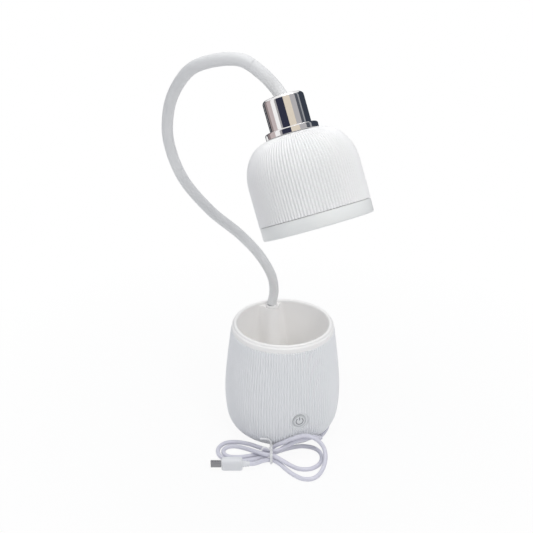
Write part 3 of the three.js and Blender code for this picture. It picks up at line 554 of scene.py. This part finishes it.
# Over the rounded lip, down its outside, a fine groove, and the plain rim band
rim_line = [
    (40.75, 105.3), (41.05, 106.0), (41.7, 106.4), (42.4, 106.5), (43.05, 106.4), (43.55, 106.05),
    (43.8, 105.5), (43.8, 105), (43.95, 104.6), (44.35, 104.35), (44.8, 104.1), (45.05, 103.6),
    (45.15, 102.6), (45.25, 101), (45.3, 100.4), (45.25, 100.15), (44.6, 100.12)]
hidden_line = [(42.2, 100.12), (42.0, 98), (39.3, 38.2), (38.1, 35.4), (35.3, cup_underside),
               (0, cup_underside)]
cup_shape = turned(floor_line + floor_edge + wall_line + rim_line + hidden_line, cup_steps)


def boss_distance(angle, z):
    """How far a ray from the middle goes before it meets the flared boss or its skirt."""
    share = min(1, max(0, (z - cup_underside) / (boss_top - cup_underside)))
    radius = boss_foot_radius + (boss_radius - boss_foot_radius) * share
    along = neck_setback * math.sin(angle)
    aside = abs(neck_setback * math.cos(angle))
    if along <= 0:
        return out_of_reach
    if aside <= radius:
        return along - math.sqrt(max(0, radius ** 2 - aside ** 2))
    return math.sqrt(neck_setback ** 2 - radius ** 2) + (aside - radius) * boss_skirt


def soft_least(a, b, blend):
    """The lesser of two lengths, rounded off where they are nearly the same."""
    h = max(0, min(1, 0.5 + 0.5 * (b - a) / blend))
    return b + (a - b) * h - blend * h * (1 - h)


# The boss that the neck rises from is drawn out of the cup's own wall and floor
for v in cup_shape.verts:
    radius = math.hypot(v.co.x, v.co.y)
    height = v.co.z
    if not cup_floor - 0.1 < height < boss_top + 0.01:
        continue
    if not 1 <= radius <= wall_radius(max(cup_low, height)) + 0.1:
        continue
    reach = boss_distance(math.atan2(v.co.y, v.co.x), height)
    if reach > radius + boss_reach:
        continue
    new_radius = soft_least(radius, reach, boss_blend)
    if new_radius < radius:
        v.co.x *= new_radius / radius
        v.co.y *= new_radius / radius
finished("pen_cup_inside", cup_shape, cup_white_lightened, "base", ["pen_cup"], crease=50)

ferrule_low, ferrule_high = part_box("neck_ferrule")
ferrule_bottom, ferrule_top = ferrule_low.z / MM, ferrule_high.z / MM
ferrule_bore = 3.7
ferrule_radius = 5.3
ferrule_shape = turned([
    (ferrule_bore, ferrule_bottom), (ferrule_radius, ferrule_bottom),
    (ferrule_radius, ferrule_top - 0.7), (5.1, ferrule_top - 0.2), (4.6, ferrule_top),
    (ferrule_bore, ferrule_top)], 64, close=True)
finished("neck_ring", moved(ferrule_shape, 0, neck_setback, 0), cup_white_lightened, "base",
         ["neck_ferrule"])

# ---------------------------------------------------------------- touch pad
disc_radius = 6.15
disc_shape = turned([
    (0, recess_face + 0.1), (disc_radius, recess_face + 0.1), (disc_radius, pad_face - 0.35),
    (6, pad_face - 0.1), (5.7, pad_face), (5.1, pad_face), (4.85, pad_face - 0.12),
    (0, pad_face - 0.12)], 96)
finished("touch_disc", front_facing(disc_shape, pad_height), touch_finish, "base",
         ["touch_pad"])
plate_radius = 4.75
plate_shape = turned([(0, pad_face - 0.3), (plate_radius, pad_face - 0.3),
                      (plate_radius - 0.05, pad_face - 0.06), (0, pad_face - 0.06)], 72)
finished("touch_plate", front_facing(plate_shape, pad_height), halo_finish, "base")

symbol_radius = 3.2
symbol_stroke = 0.42
symbol_flatness = 0.35
arc = [(symbol_radius * math.sin(math.radians(a)), -pad_face,
        pad_height + symbol_radius * math.cos(math.radians(a))) for a in range(35, 326, 6)]
bar = [(0, -pad_face, pad_height + 0.9), (0, -pad_face, pad_height + 4)]
arc_piece = line_curve("power_symbol_arc", arc, symbol_stroke)
bar_piece = line_curve("power_symbol_bar", bar, symbol_stroke)
squeeze = (Matrix.Translation((0, -pad_face * MM, 0)) @ Matrix.Diagonal((1, symbol_flatness, 1, 1))
           @ Matrix.Translation((0, pad_face * MM, 0)))
for mark in (as_mesh(arc_piece), as_mesh(bar_piece)):
    mark.data.materials.append(symbol_finish)
    mark.data.transform(squeeze)
    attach(mark, "base")

# ---------------------------------------------------------------- neck
neck_length = 385
neck_radius = 4.25
neck_steps = 24
bend_share = 0.8
# The way of the neck's line from its foot, in shares of neck_length
neck_shares = [
    (0, 0, 0), (0.0055, -0.0005, 0.032), (-0.0016, -0.0097, 0.0743), (-0.039, -0.0369, 0.1469),
    (-0.0904, -0.0585, 0.2132), (-0.1558, -0.0633, 0.2777), (-0.2098, -0.059, 0.352),
    (-0.2369, -0.0722, 0.4328), (-0.2413, -0.1171, 0.5061), (-0.2309, -0.1838, 0.5695),
    (-0.2065, -0.2561, 0.6142), (-0.148, -0.3201, 0.6295), (-0.1176, -0.3383, 0.6096),
    (-0.0973, -0.3445, 0.588), (-0.0871, -0.3528, 0.573)]
shade_aim = Vector((0.169, -0.405, -0.899)).normalized()
neck_start = Vector((0, neck_setback, ferrule_top + seat_gap))
neck_line = smooth_route([neck_start + Vector(s) * neck_length for s in neck_shares], neck_steps)
neck_end = neck_line[-1].copy()
# The sleeve runs on into the collar
neck_line += [neck_end + shade_aim * step for step in (1, 2, 3)]


def nearest(point):
    """The place on the neck line nearest to a point."""
    return min(range(len(neck_line)), key=lambda i: (neck_line[i] - point).length)


joint_spots = [nearest(Vector(j["pos_m"]) / MM) for j in frame["joints"]]
distance = [0.0]
for a, b in zip(neck_line, neck_line[1:]):
    distance.append(distance[-1] + (b - a).length)


def halfway(first, second):
    """The place on the neck line midway between two places."""
    middle = (distance[first] + distance[second]) / 2
    return min(range(len(neck_line)), key=lambda i: abs(distance[i] - middle))


breaks = [0] + [halfway(a, b) for a, b in zip(joint_spots, joint_spots[1:])] + [len(neck_line) - 1]
for number, joint in enumerate(frame["joints"]):
    spot = joint_spots[number]
    first, last = breaks[number], breaks[number + 1]
    stretch = neck_line[first:last + 1]
    sleeve_name = f"neck_sleeve_{number + 1:02d}"
    sleeve = as_mesh(line_curve(sleeve_name, stretch, neck_radius, roundness=8, caps=False))
    sleeve.data.materials.append(neck_finish)
    reach = min(distance[spot] - distance[first], distance[last] - distance[spot]) * bend_share
    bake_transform(sleeve)
    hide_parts(f"neck_link_{number + 1:02d}")
    if number == len(frame["joints"]) - 1:
        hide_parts(f"neck_link_{number + 2:02d}")

# ---------------------------------------------------------------- head
shade_radius = 36.8
shade_height = 51.4
shade_wall = 2
shade_ribs = 112
shade_rib_depth = 0.95
shade_rib_fade = 3
skin_depth = 0.4
flange_margin = 0.2
stem_hole = 3.7
flange_radius = 17.4
flange_height = 4.2
collar_radius = 13.6
collar_height = 20.8
bezel_height = 9.1
# Heights in the head's own frame: its mouth at 0 and its top toward the neck
dome_start = 0.488 * shade_height
collar_bottom = shade_height + seat_gap
step_height = collar_bottom + flange_height
collar_top = step_height + collar_height
head_turn = Vector((0, 0, -1)).rotation_difference(shade_aim).to_matrix().to_4x4()
head_place = Matrix.Translation(neck_end + shade_aim * collar_top) @ head_turn


def dome(radius, top_radius, height, steps):
    """The shade's outline from its mouth: a straight skirt, then a quarter of an ellipse."""
    line = [(radius, dome_start * i / 4) for i in range(5)]
    for i in range(1, steps + 1):
        angle = i / steps * math.pi / 2
        line.append((top_radius + (radius - top_radius) * math.cos(angle),
                     dome_start + (height - dome_start) * math.sin(angle)))
    return line


def shade_rib_share(radius, height):
    """Nothing on the inner wall or under the flange, and a fade round the flange."""
    share = min(1, max(0, (height - dome_start) / (shade_height - dome_start)))
    surface = flange_radius + (shade_radius - flange_radius) * math.sqrt(max(0, 1 - share ** 2))
    if radius < surface - skin_depth or radius < flange_radius + flange_margin:
        return 0
    return min(1, (radius - flange_radius) / shade_rib_fade)


dome_outside = dome(shade_radius, flange_radius, shade_height, 22)
dome_inside = dome(shade_radius - shade_wall, flange_radius - shade_wall,
                   shade_height - shade_wall, 8)
shade_hole = [(stem_hole, shade_height), (stem_hole, shade_height - shade_wall)]
shade_shape = turned(dome_outside + shade_hole + dome_inside[::-1], shade_ribs * steps_per_rib,
                     close=True)
draw_ribs(shade_shape, shade_ribs, shade_rib_depth, shade_rib_share)
finished("ribbed_shade", shade_shape, shade_finish, "head", ["shade_shell"],
         head_place)

collar_bore = 11.5
collar_profile = [
    (collar_bore, collar_bottom), (flange_radius - 0.4, collar_bottom),
    (flange_radius, collar_bottom + 0.35), (flange_radius, collar_bottom + 0.6),
    (flange_radius, step_height - 1.1), (flange_radius, step_height - 0.9),
    (flange_radius - 0.25, step_height - 0.3), (flange_radius - 0.8, step_height),
    (collar_radius + 0.5, step_height), (collar_radius + 0.1, step_height + 0.15),
    (collar_radius, step_height + 0.5), (collar_radius, step_height + 0.8),
    (collar_radius, collar_top - 2.7), (collar_radius, collar_top - 2.4),
    (collar_radius - 0.15, collar_top - 1.5), (collar_radius - 0.6, collar_top - 0.75),
    (collar_radius - 1.3, collar_top - 0.25), (collar_radius - 2.3, collar_top),
    (5.4, collar_top), (4.9, collar_top - 0.25), (4.75, collar_top - 0.7),
    (4.75, collar_top - 1.4), (collar_bore, collar_top - 1.4)]
finished("chrome_collar", turned(collar_profile, 128, close=True), chrome_finish, "head",
         ["collar"], head_place, crease=30)

bezel_radius = shade_radius - 0.15
spigot_radius, spigot_bore, spigot_top = 32.8, 31.8, 3
lip_bore = 29.8
bezel_profile = [
    (bezel_radius - 0.5, -0.25), (spigot_radius, -0.25), (spigot_radius, spigot_top),
    (spigot_bore, spigot_top), (spigot_bore, 1.6 - bezel_height), (lip_bore, 1.6 - bezel_height),
    (lip_bore, 0.3 - bezel_height), (30.1, -bezel_height), (bezel_radius - 1.1, -bezel_height),
    (bezel_radius - 0.5, 0.15 - bezel_height), (bezel_radius - 0.1, 0.6 - bezel_height),
    (bezel_radius, 1.2 - bezel_height), (bezel_radius, -0.6), (bezel_radius - 0.15, -0.35)]
finished("shade_ring", turned(bezel_profile, 160, close=True), bezel_finish, "head",
         ["diffuser_bezel"], head_place)
lens_radius = 31.4
lens_bottom = 1.9 - bezel_height
lens_top = lens_bottom + 1.8
lens_profile = [(0, lens_bottom), (31, lens_bottom), (lens_radius, lens_bottom + 0.4),
                (lens_radius, lens_top), (0, lens_top)]
finished("light_lens", turned(lens_profile, 128), lens_finish, "head",
         ["diffuser_lens"], head_place)

# ---------------------------------------------------------------- cable
cable_diameter = 3.7
cable_radius = cable_diameter / 2
bundle_place = Matrix.Rotation(view_turn, 4, "Z") @ Matrix.Translation((-11.4, -58.4, 0))
# Where the two plugs lie in the bundle's own frame: across it and above the floor
small_line, small_axis = -11.6, 5.8
large_line, large_axis = 121.4, 3.9
# From the small plug through the outer right, inner left, inner right and outer left
# loops, then under the first loop and round the foot of the base to the large plug
cable_route = [
    (-19.1, -11.6, 5.8),
    (-17.1, -11.6, 5.8), (-14.3, -11.6, 5.8), (-10.2, -8.8, 4.9), (-5, -4.6, 3.6),
    (1.7, -3.4, 3.1), (8, -7.4, 2.5), (13.4, -13.8, 1.95), (19.2, -20.4, 1.85),
    (27, -26, 1.9), (34.8, -26.6, 2.1), (41.4, -22.2, 3.1), (46.1, -13.6, 5.4),
    (47.9, -4.4, 9.2), (46.1, 1.3, 13.8), (40.8, 4.7, 18.4), (31.6, 6.1, 21.8),
    (21.7, 4.9, 20.4), (11.2, 5.8, 14.6), (3.8, 8.5, 8.6), (-1.9, 8.4, 3.4),
    (-8.5, 6.4, 2), (-17, 3.9, 1.9), (-25.4, 2.2, 1.85), (-33, 2.1, 1.85),
    (-39, 4.6, 1.85), (-41.3, 9.9, 1.85), (-38.9, 15.1, 1.85), (-33, 17.1, 1.85),
    (-26.2, 14.9, 2.4), (-19.4, 9.4, 4.6), (-11, 2.2, 7.1), (-3.8, -1.2, 7.5),
    (3.3, -3.4, 7.4), (11, -8.4, 6.2), (18, -12, 4), (25.1, -14, 2.2),
    (34.9, -13.4, 1.85), (42.5, -7.4, 1.85), (45.4, 1.9, 1.85), (43.6, 9.7, 1.85),
    (38.2, 15, 1.85), (28.5, 17.1, 1.85), (20.5, 15.6, 1.85), (12.5, 12, 2.2),
    (5.5, 7.6, 2.9), (-0.6, 3.9, 3.1), (-8.6, 0.6, 2.4), (-17.4, -1.8, 1.9),
    (-26, -2.9, 1.85), (-34.4, -2.6, 1.85), (-41.8, 1.1, 1.85), (-45.9, 8.2, 1.85),
    (-45.2, 15.8, 1.85), (-40, 21.6, 1.85), (-31.8, 23.1, 1.85), (-20.3, 19.8, 2.6),
    (-9.1, 10.4, 5.7), (-1, 4.5, 7.3), (6.8, 4, 7.5), (13.3, 5.6, 10.2),
    (21.8, 6.5, 14.9), (29, 8.2, 16.2), (36, 11.1, 16.1), (41, 14.2, 13.9),
    (43.4, 18.2, 10.4), (45.2, 22, 7.1), (46.1, 27.2, 4.2), (47.3, 32.2, 2.4),
    (51.2, 40, 1.85), (54.1, 49.3, 1.85), (55, 58, 1.85), (54.2, 66.8, 1.85),
    (51.4, 76.3, 1.85), (47.2, 86, 1.85), (41, 96.5, 1.85), (36.5, 105.5, 2.1),
    (32.5, 113, 2.9), (28, 118.4, 3.6), (24, 121.3, 3.9), (20.3, 121.4, 3.9),
    (18.3, 121.4, 3.9)]
route_steps = 6
route = [bundle_place @ p for p in smooth_route(cable_route, route_steps)]
cable = line_curve("usb_cable", route, cable_radius, roundness=6)
cable.data.materials.append(cable_finish)


def plug_piece(name, shape, material, stands_for=()):
    """A finished piece of the cable's ends or tie, placed with the bundle."""
    return finished(name, shape, material, "base", stands_for, bundle_place)


def strain_relief(start, length, line, axis, near=2.9, far=2.35, rings=3, groove=0.45):
    """A ribbed strain relief along X that narrows from near to far.

    Each ring fills 0.6 of its share of the length, and a groove most of the rest."""
    profile = [(0, 0)]
    width = length / rings
    for i in range(rings):
        at = length * i / rings
        radius = near + (far - near) * i / (rings - 1)
        profile += [(radius, at), (radius, at + width * 0.6), (radius - groove, at + width * 0.72),
                    (radius - groove, at + width * 0.95)]
    profile.append((0, length))
    shape = turned(profile, 32)
    turn = Matrix.Rotation(math.pi / 2, 3, "Y")
    bmesh.ops.rotate(shape, cent=(0, 0, 0), matrix=turn, verts=shape.verts)
    return moved(shape, start, line, axis)


def hollow_shell(length, width, height, wall, corner):
    """A drawn metal sleeve along X, open at both ends."""
    shape = rounded_bar(length, width, height, corner, long_edges_only=True)
    ends = [f for f in shape.faces if abs(f.normal.x) > 0.9]
    bmesh.ops.delete(shape, geom=ends, context="FACES_ONLY")
    bmesh.ops.recalc_face_normals(shape, faces=shape.faces)
    bmesh.ops.solidify(shape, geom=shape.faces[:], thickness=wall)
    return shape


small_grip_start = -41.6
small_shell_end = -41.9
small_grip = moved(rounded_bar(length=18, width=7, height=11, corner=1.7),
                   small_grip_start + 9, small_line, small_axis)
add_shape(small_grip, strain_relief(small_grip_start + 17.8, 6.6, small_line, small_axis))
small_grip_piece = plug_piece("small_plug_grip", small_grip, grip_finish,
                              ["micro_plug_grip"])
small_shell = moved(hollow_shell(length=9, width=1.9, height=6.9, wall=0.3, corner=0.55),
                    small_shell_end - 4.5, small_line, small_axis)
small_shell_piece = plug_piece("small_plug_shell", small_shell, plug_metal,
                               ["micro_plug_shell"])
small_tongue = moved(rounded_bar(length=7, width=0.6, height=5, corner=0.2, segments=2),
                     small_shell_end - 4, small_line, small_axis)
small_tongue_piece = plug_piece("small_plug_tongue", small_tongue, tongue_finish)

large_grip_start = -6.5
large_grip = moved(rounded_bar(length=20, width=15, height=7.6, corner=2),
                   large_grip_start + 10, large_line, large_axis)
add_shape(large_grip, strain_relief(large_grip_start + 19.8, 6.7, large_line, large_axis))
large_grip_piece = plug_piece("large_plug_grip", large_grip, grip_finish,
                              ["usb_plug_grip"])
large_shell = moved(hollow_shell(length=14, width=12, height=4.5, wall=0.4, corner=0.5),
                    large_grip_start - 7.3, large_line, large_axis)
large_shell_piece = plug_piece("large_plug_shell", large_shell, plug_metal,
                               ["usb_plug_shell"])
large_tongue = moved(rounded_bar(length=12, width=10.6, height=1.5, corner=0.2, segments=2),
                     large_grip_start - 6.8, large_line, large_axis + 0.9)
large_tongue_piece = plug_piece("large_plug_tongue", large_tongue, tongue_finish)
pins = bmesh.new()
for side in (-3.5, -1.2, 1.2, 3.5):
    pin = rounded_bar(length=7, width=1, height=0.25, corner=0.06, segments=1)
    add_shape(pins, moved(pin, large_grip_start - 8.3, large_line + side, large_axis + 0.08))
pins_piece = plug_piece("large_plug_contacts", pins, contact_finish)

# ---------------------------------------------------------------- tie
tie_place = 1
tie_half_width = 1.15
tie_thickness = 0.35
tie_from, tie_to = -6.5, 11
tie_low, tie_high = 0.45, 10.45
tie_corner = 1.9


def tie_loop():
    """The strip's way round the cable runs, seen along the hank."""
    near, far = tie_from + tie_corner, tie_to - tie_corner
    low, high = tie_low + tie_corner, tie_high - tie_corner
    line = []
    for quarter, (y, z) in enumerate(((near, low), (far, low), (far, high), (near, high))):
        for step in range(7):
            angle = math.radians(180 + quarter * 90 + step * 15)
            line.append((tie_place - tie_half_width, y + tie_corner * math.cos(angle),
                         z + tie_corner * math.sin(angle)))
    return line


band_shape = chain(tie_loop(), close=True)
drawn = bmesh.ops.extrude_edge_only(band_shape, edges=band_shape.edges[:])["geom"]
bmesh.ops.translate(band_shape, vec=(tie_half_width * 2, 0, 0),
                    verts=[v for v in drawn if isinstance(v, bmesh.types.BMVert)])
bmesh.ops.recalc_face_normals(band_shape, faces=band_shape.faces)
bmesh.ops.solidify(band_shape, geom=band_shape.faces[:], thickness=tie_thickness)
tie_pieces = [plug_piece("tie_band", band_shape, tie_finish, ["cable_tie"])]
core = [(tie_place, y, z) for _, y, z in tie_loop()]
hook = [(1, 0, tie_high), (-1, 0.6, 12), (-4, 2, 12.6), (-6.5, 1.6, 12.1), (-7.2, 0, 11.3)]
tail = [(1, 8.6, tie_high), (0.6, 8.1, 14), (-1.4, 7.9, 16.4), (-4.6, 7.6, 17.2), (-8.8, 7.6, 17.3)]
for name, line, radius in (("tie_core", core + core[:1], 0.45),
                           ("tie_hook", smooth_route(hook, route_steps), 0.55),
                           ("tie_tail", smooth_route(tail, route_steps), 0.8)):
    wire = as_mesh(line_curve(name, [bundle_place @ Vector(p) for p in line], radius))
    wire.data.materials.append(tie_finish)
    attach(wire, "base")
    tie_pieces.append(wire)

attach(cable, "base")
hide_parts("usb_hank", "usb_lead", "usb_tail")

# ---------------------------------------------------------------- pieces inside
# These nodes of the frame keep their own shapes; the screws are found by name
inner_finishes = {
    "battery_cradle": cradle_finish, "battery_cell": cell_finish, "charging_socket": plug_metal,
    "control_board": green_board, "touch_board": green_board, "led_board": white_board,
    "counterweight": steel_finish, "neck_stem": steel_finish, "neck_nut": steel_finish,
    "head_stem": steel_finish, "shade_nut": steel_finish, "head_lead": lead_finish,
    "neck_lead": lead_finish, "battery_lead": lead_finish, "touch_lead": lead_finish}
for name, node in frame["nodes"].items():
    finish = inner_finishes.get(name, steel_finish if "screw" in name else None)
    if finish:
        node.data.materials.clear()
        node.data.materials.append(finish)

# ---------------------------------------------------------------- floor and light
def seen_rays(tree):
    """1 for camera, glossy and transmission rays, which see the white background."""
    rays = tree.nodes.new("ShaderNodeLightPath")
    value = rays.outputs["Is Camera Ray"]
    for other in ("Is Glossy Ray", "Is Transmission Ray"):
        either = tree.nodes.new("ShaderNodeMath")
        either.operation = "MAXIMUM"
        link(tree, value, either.inputs[0])
        link(tree, rays.outputs[other], either.inputs[1])
        value = either.outputs["Value"]
    return value


def backdrop_finish(name, color, near_glow, near, far):
    """Pale floor that keeps the soft shadow close to the lamp.

    To the camera its own white glow grows from near_glow at near to full at far, in metres."""
    material, tree, shader = finish_nodes(name)
    place = object_place(tree)
    grain = noise(tree, place, scale=40, detail=2)
    darker = [c * 0.985 for c in color]
    link(tree, shade_between(tree, grain, color, darker), shader.inputs["Base Color"])
    shader.inputs["Roughness"].default_value = 0.9
    shader.inputs["Specular IOR Level"].default_value = 0.1
    light = tree.nodes.new("ShaderNodeEmission")
    light.inputs["Color"].default_value = (1, 1, 1, 1)
    light.inputs["Strength"].default_value = 1
    away = tree.nodes.new("ShaderNodeVectorMath")
    away.operation = "LENGTH"
    link(tree, place, away.inputs[0])
    glow = spread(tree, away.outputs["Value"], near_glow, 1, near, far)
    share = tree.nodes.new("ShaderNodeMath")
    share.operation = "MULTIPLY"
    link(tree, seen_rays(tree), share.inputs[0])
    link(tree, glow, share.inputs[1])
    mix = tree.nodes.new("ShaderNodeMixShader")
    link(tree, share.outputs["Value"], mix.inputs["Fac"])
    link(tree, shader.outputs["BSDF"], mix.inputs[1])
    link(tree, light.outputs["Emission"], mix.inputs[2])
    link(tree, mix.outputs["Shader"], tree.nodes["Material Output"].inputs["Surface"])
    return material


floor_size = 8
floor_shape = bmesh.new()
bmesh.ops.create_grid(floor_shape, x_segments=1, y_segments=1, size=floor_size)
floor = in_scene("floor", as_data("floor", floor_shape))
floor.data.materials.append(backdrop_finish("pale floor", (0.86, 0.86, 0.865), near_glow=0.92,
                                            near=0.1, far=0.4))

# Cards round the head that only mirrors see. Each has its start and end, in degrees round
# the head from the camera's side, and its colour.
cards = [
    (-180, -123, (0.05, 0.05, 0.06)), (-123, -105, (0.3, 0.25, 0.25)),
    (-105, -74, (0.58, 0.5, 0.5)), (-74, -50, (1, 1, 1)), (-50, -40, (0.42, 0.41, 0.42)),
    (-40, 0, (0.035, 0.038, 0.065)), (0, 37, (0.8, 0.72, 0.6)), (37, 68, (0.5, 0.49, 0.5)),
    (68, 86, (0.1, 0.11, 0.13)), (86, 96, (0.36, 0.37, 0.39)), (96, 180, (0.045, 0.055, 0.075))]
card_radius = 0.9
card_half_height = 0.6
card_steps = 12
card_rise = 15
head_middle = (neck_end + shade_aim * (collar_top / 2 - card_rise)) * MM
card_place = Matrix.Translation(head_middle) @ head_turn
to_camera = card_place.inverted() @ camera.location
camera_azimuth = math.atan2(to_camera.y, to_camera.x)


def card_finish(name, color):
    """Glows in one colour and reflects nothing."""
    material, _, shader = finish_nodes(name)
    shader.inputs["Base Color"].default_value = (0, 0, 0, 1)
    shader.inputs["Specular IOR Level"].default_value = 0
    shader.inputs["Emission Color"].default_value = (*color, 1)
    shader.inputs["Emission Strength"].default_value = 1
    return material


for number, (start, end, color) in enumerate(cards):
    card_shape = bmesh.new()
    angle = camera_azimuth + math.radians(start)
    ends = [card_shape.verts.new((card_radius * math.cos(angle), card_radius * math.sin(angle), z))
            for z in (-card_half_height, card_half_height)]
    edge = card_shape.edges.new(ends)
    bmesh.ops.spin(card_shape, geom=[*ends, edge], cent=(0, 0, 0), axis=(0, 0, 1), dvec=(0, 0, 0),
                   angle=math.radians(end - start), steps=card_steps)
    bmesh.ops.transform(card_shape, matrix=card_place, verts=card_shape.verts)
    card = in_scene(f"card_{number + 1}", as_data("card", card_shape))
    card.data.materials.append(card_finish(f"card {number + 1}", color))
    card.visible_camera = False
    card.visible_diffuse = False
    card.visible_transmission = False
    card.visible_shadow = False
    card.visible_volume_scatter = False

world = bpy.data.worlds.new("studio")
scene.world = world
world.use_nodes = True
sky = world.node_tree
background = sky.nodes["Background"]
background.inputs["Color"].default_value = (0.93, 0.95, 1, 1)
background.inputs["Strength"].default_value = 0.52
white = sky.nodes.new("ShaderNodeBackground")
white.inputs["Color"].default_value = (1, 1, 1, 1)
white.inputs["Strength"].default_value = 1
mixed = sky.nodes.new("ShaderNodeMixShader")
link(sky, seen_rays(sky), mixed.inputs["Fac"])
link(sky, background.outputs["Background"], mixed.inputs[1])
link(sky, white.outputs["Background"], mixed.inputs[2])
link(sky, mixed.outputs["Shader"], sky.nodes["World Output"].inputs["Surface"])


def soft_light(name, spot, size, power, color, mirrored=True):
    """A square soft light, in metres and watts, that shines on the middle of the lamp."""
    data = bpy.data.lights.new(name, "AREA")
    data.shape = "RECTANGLE"
    data.size = data.size_y = size
    data.energy = power
    data.color = color
    lamp = in_scene(name, data)
    lamp.location = spot
    lamp.rotation_euler = (lit_middle - Vector(spot)).to_track_quat("-Z", "Y").to_euler()
    lamp.visible_glossy = mirrored


lit_middle = Vector((0, -0.03, 0.2))
soft_light("key light", spot=(0.3, -1.15, 0.95), size=0.45, power=4.1, color=(1, 0.99, 0.98),
           mirrored=False)
soft_light("fill light", spot=(-0.95, -0.1, 0.95), size=0.5, power=1.6, color=(0.98, 0.99, 1),
           mirrored=False)
soft_light("top light", spot=(0.1, 0, 1.3), size=0.7, power=4.3, color=(1, 0.995, 0.985))
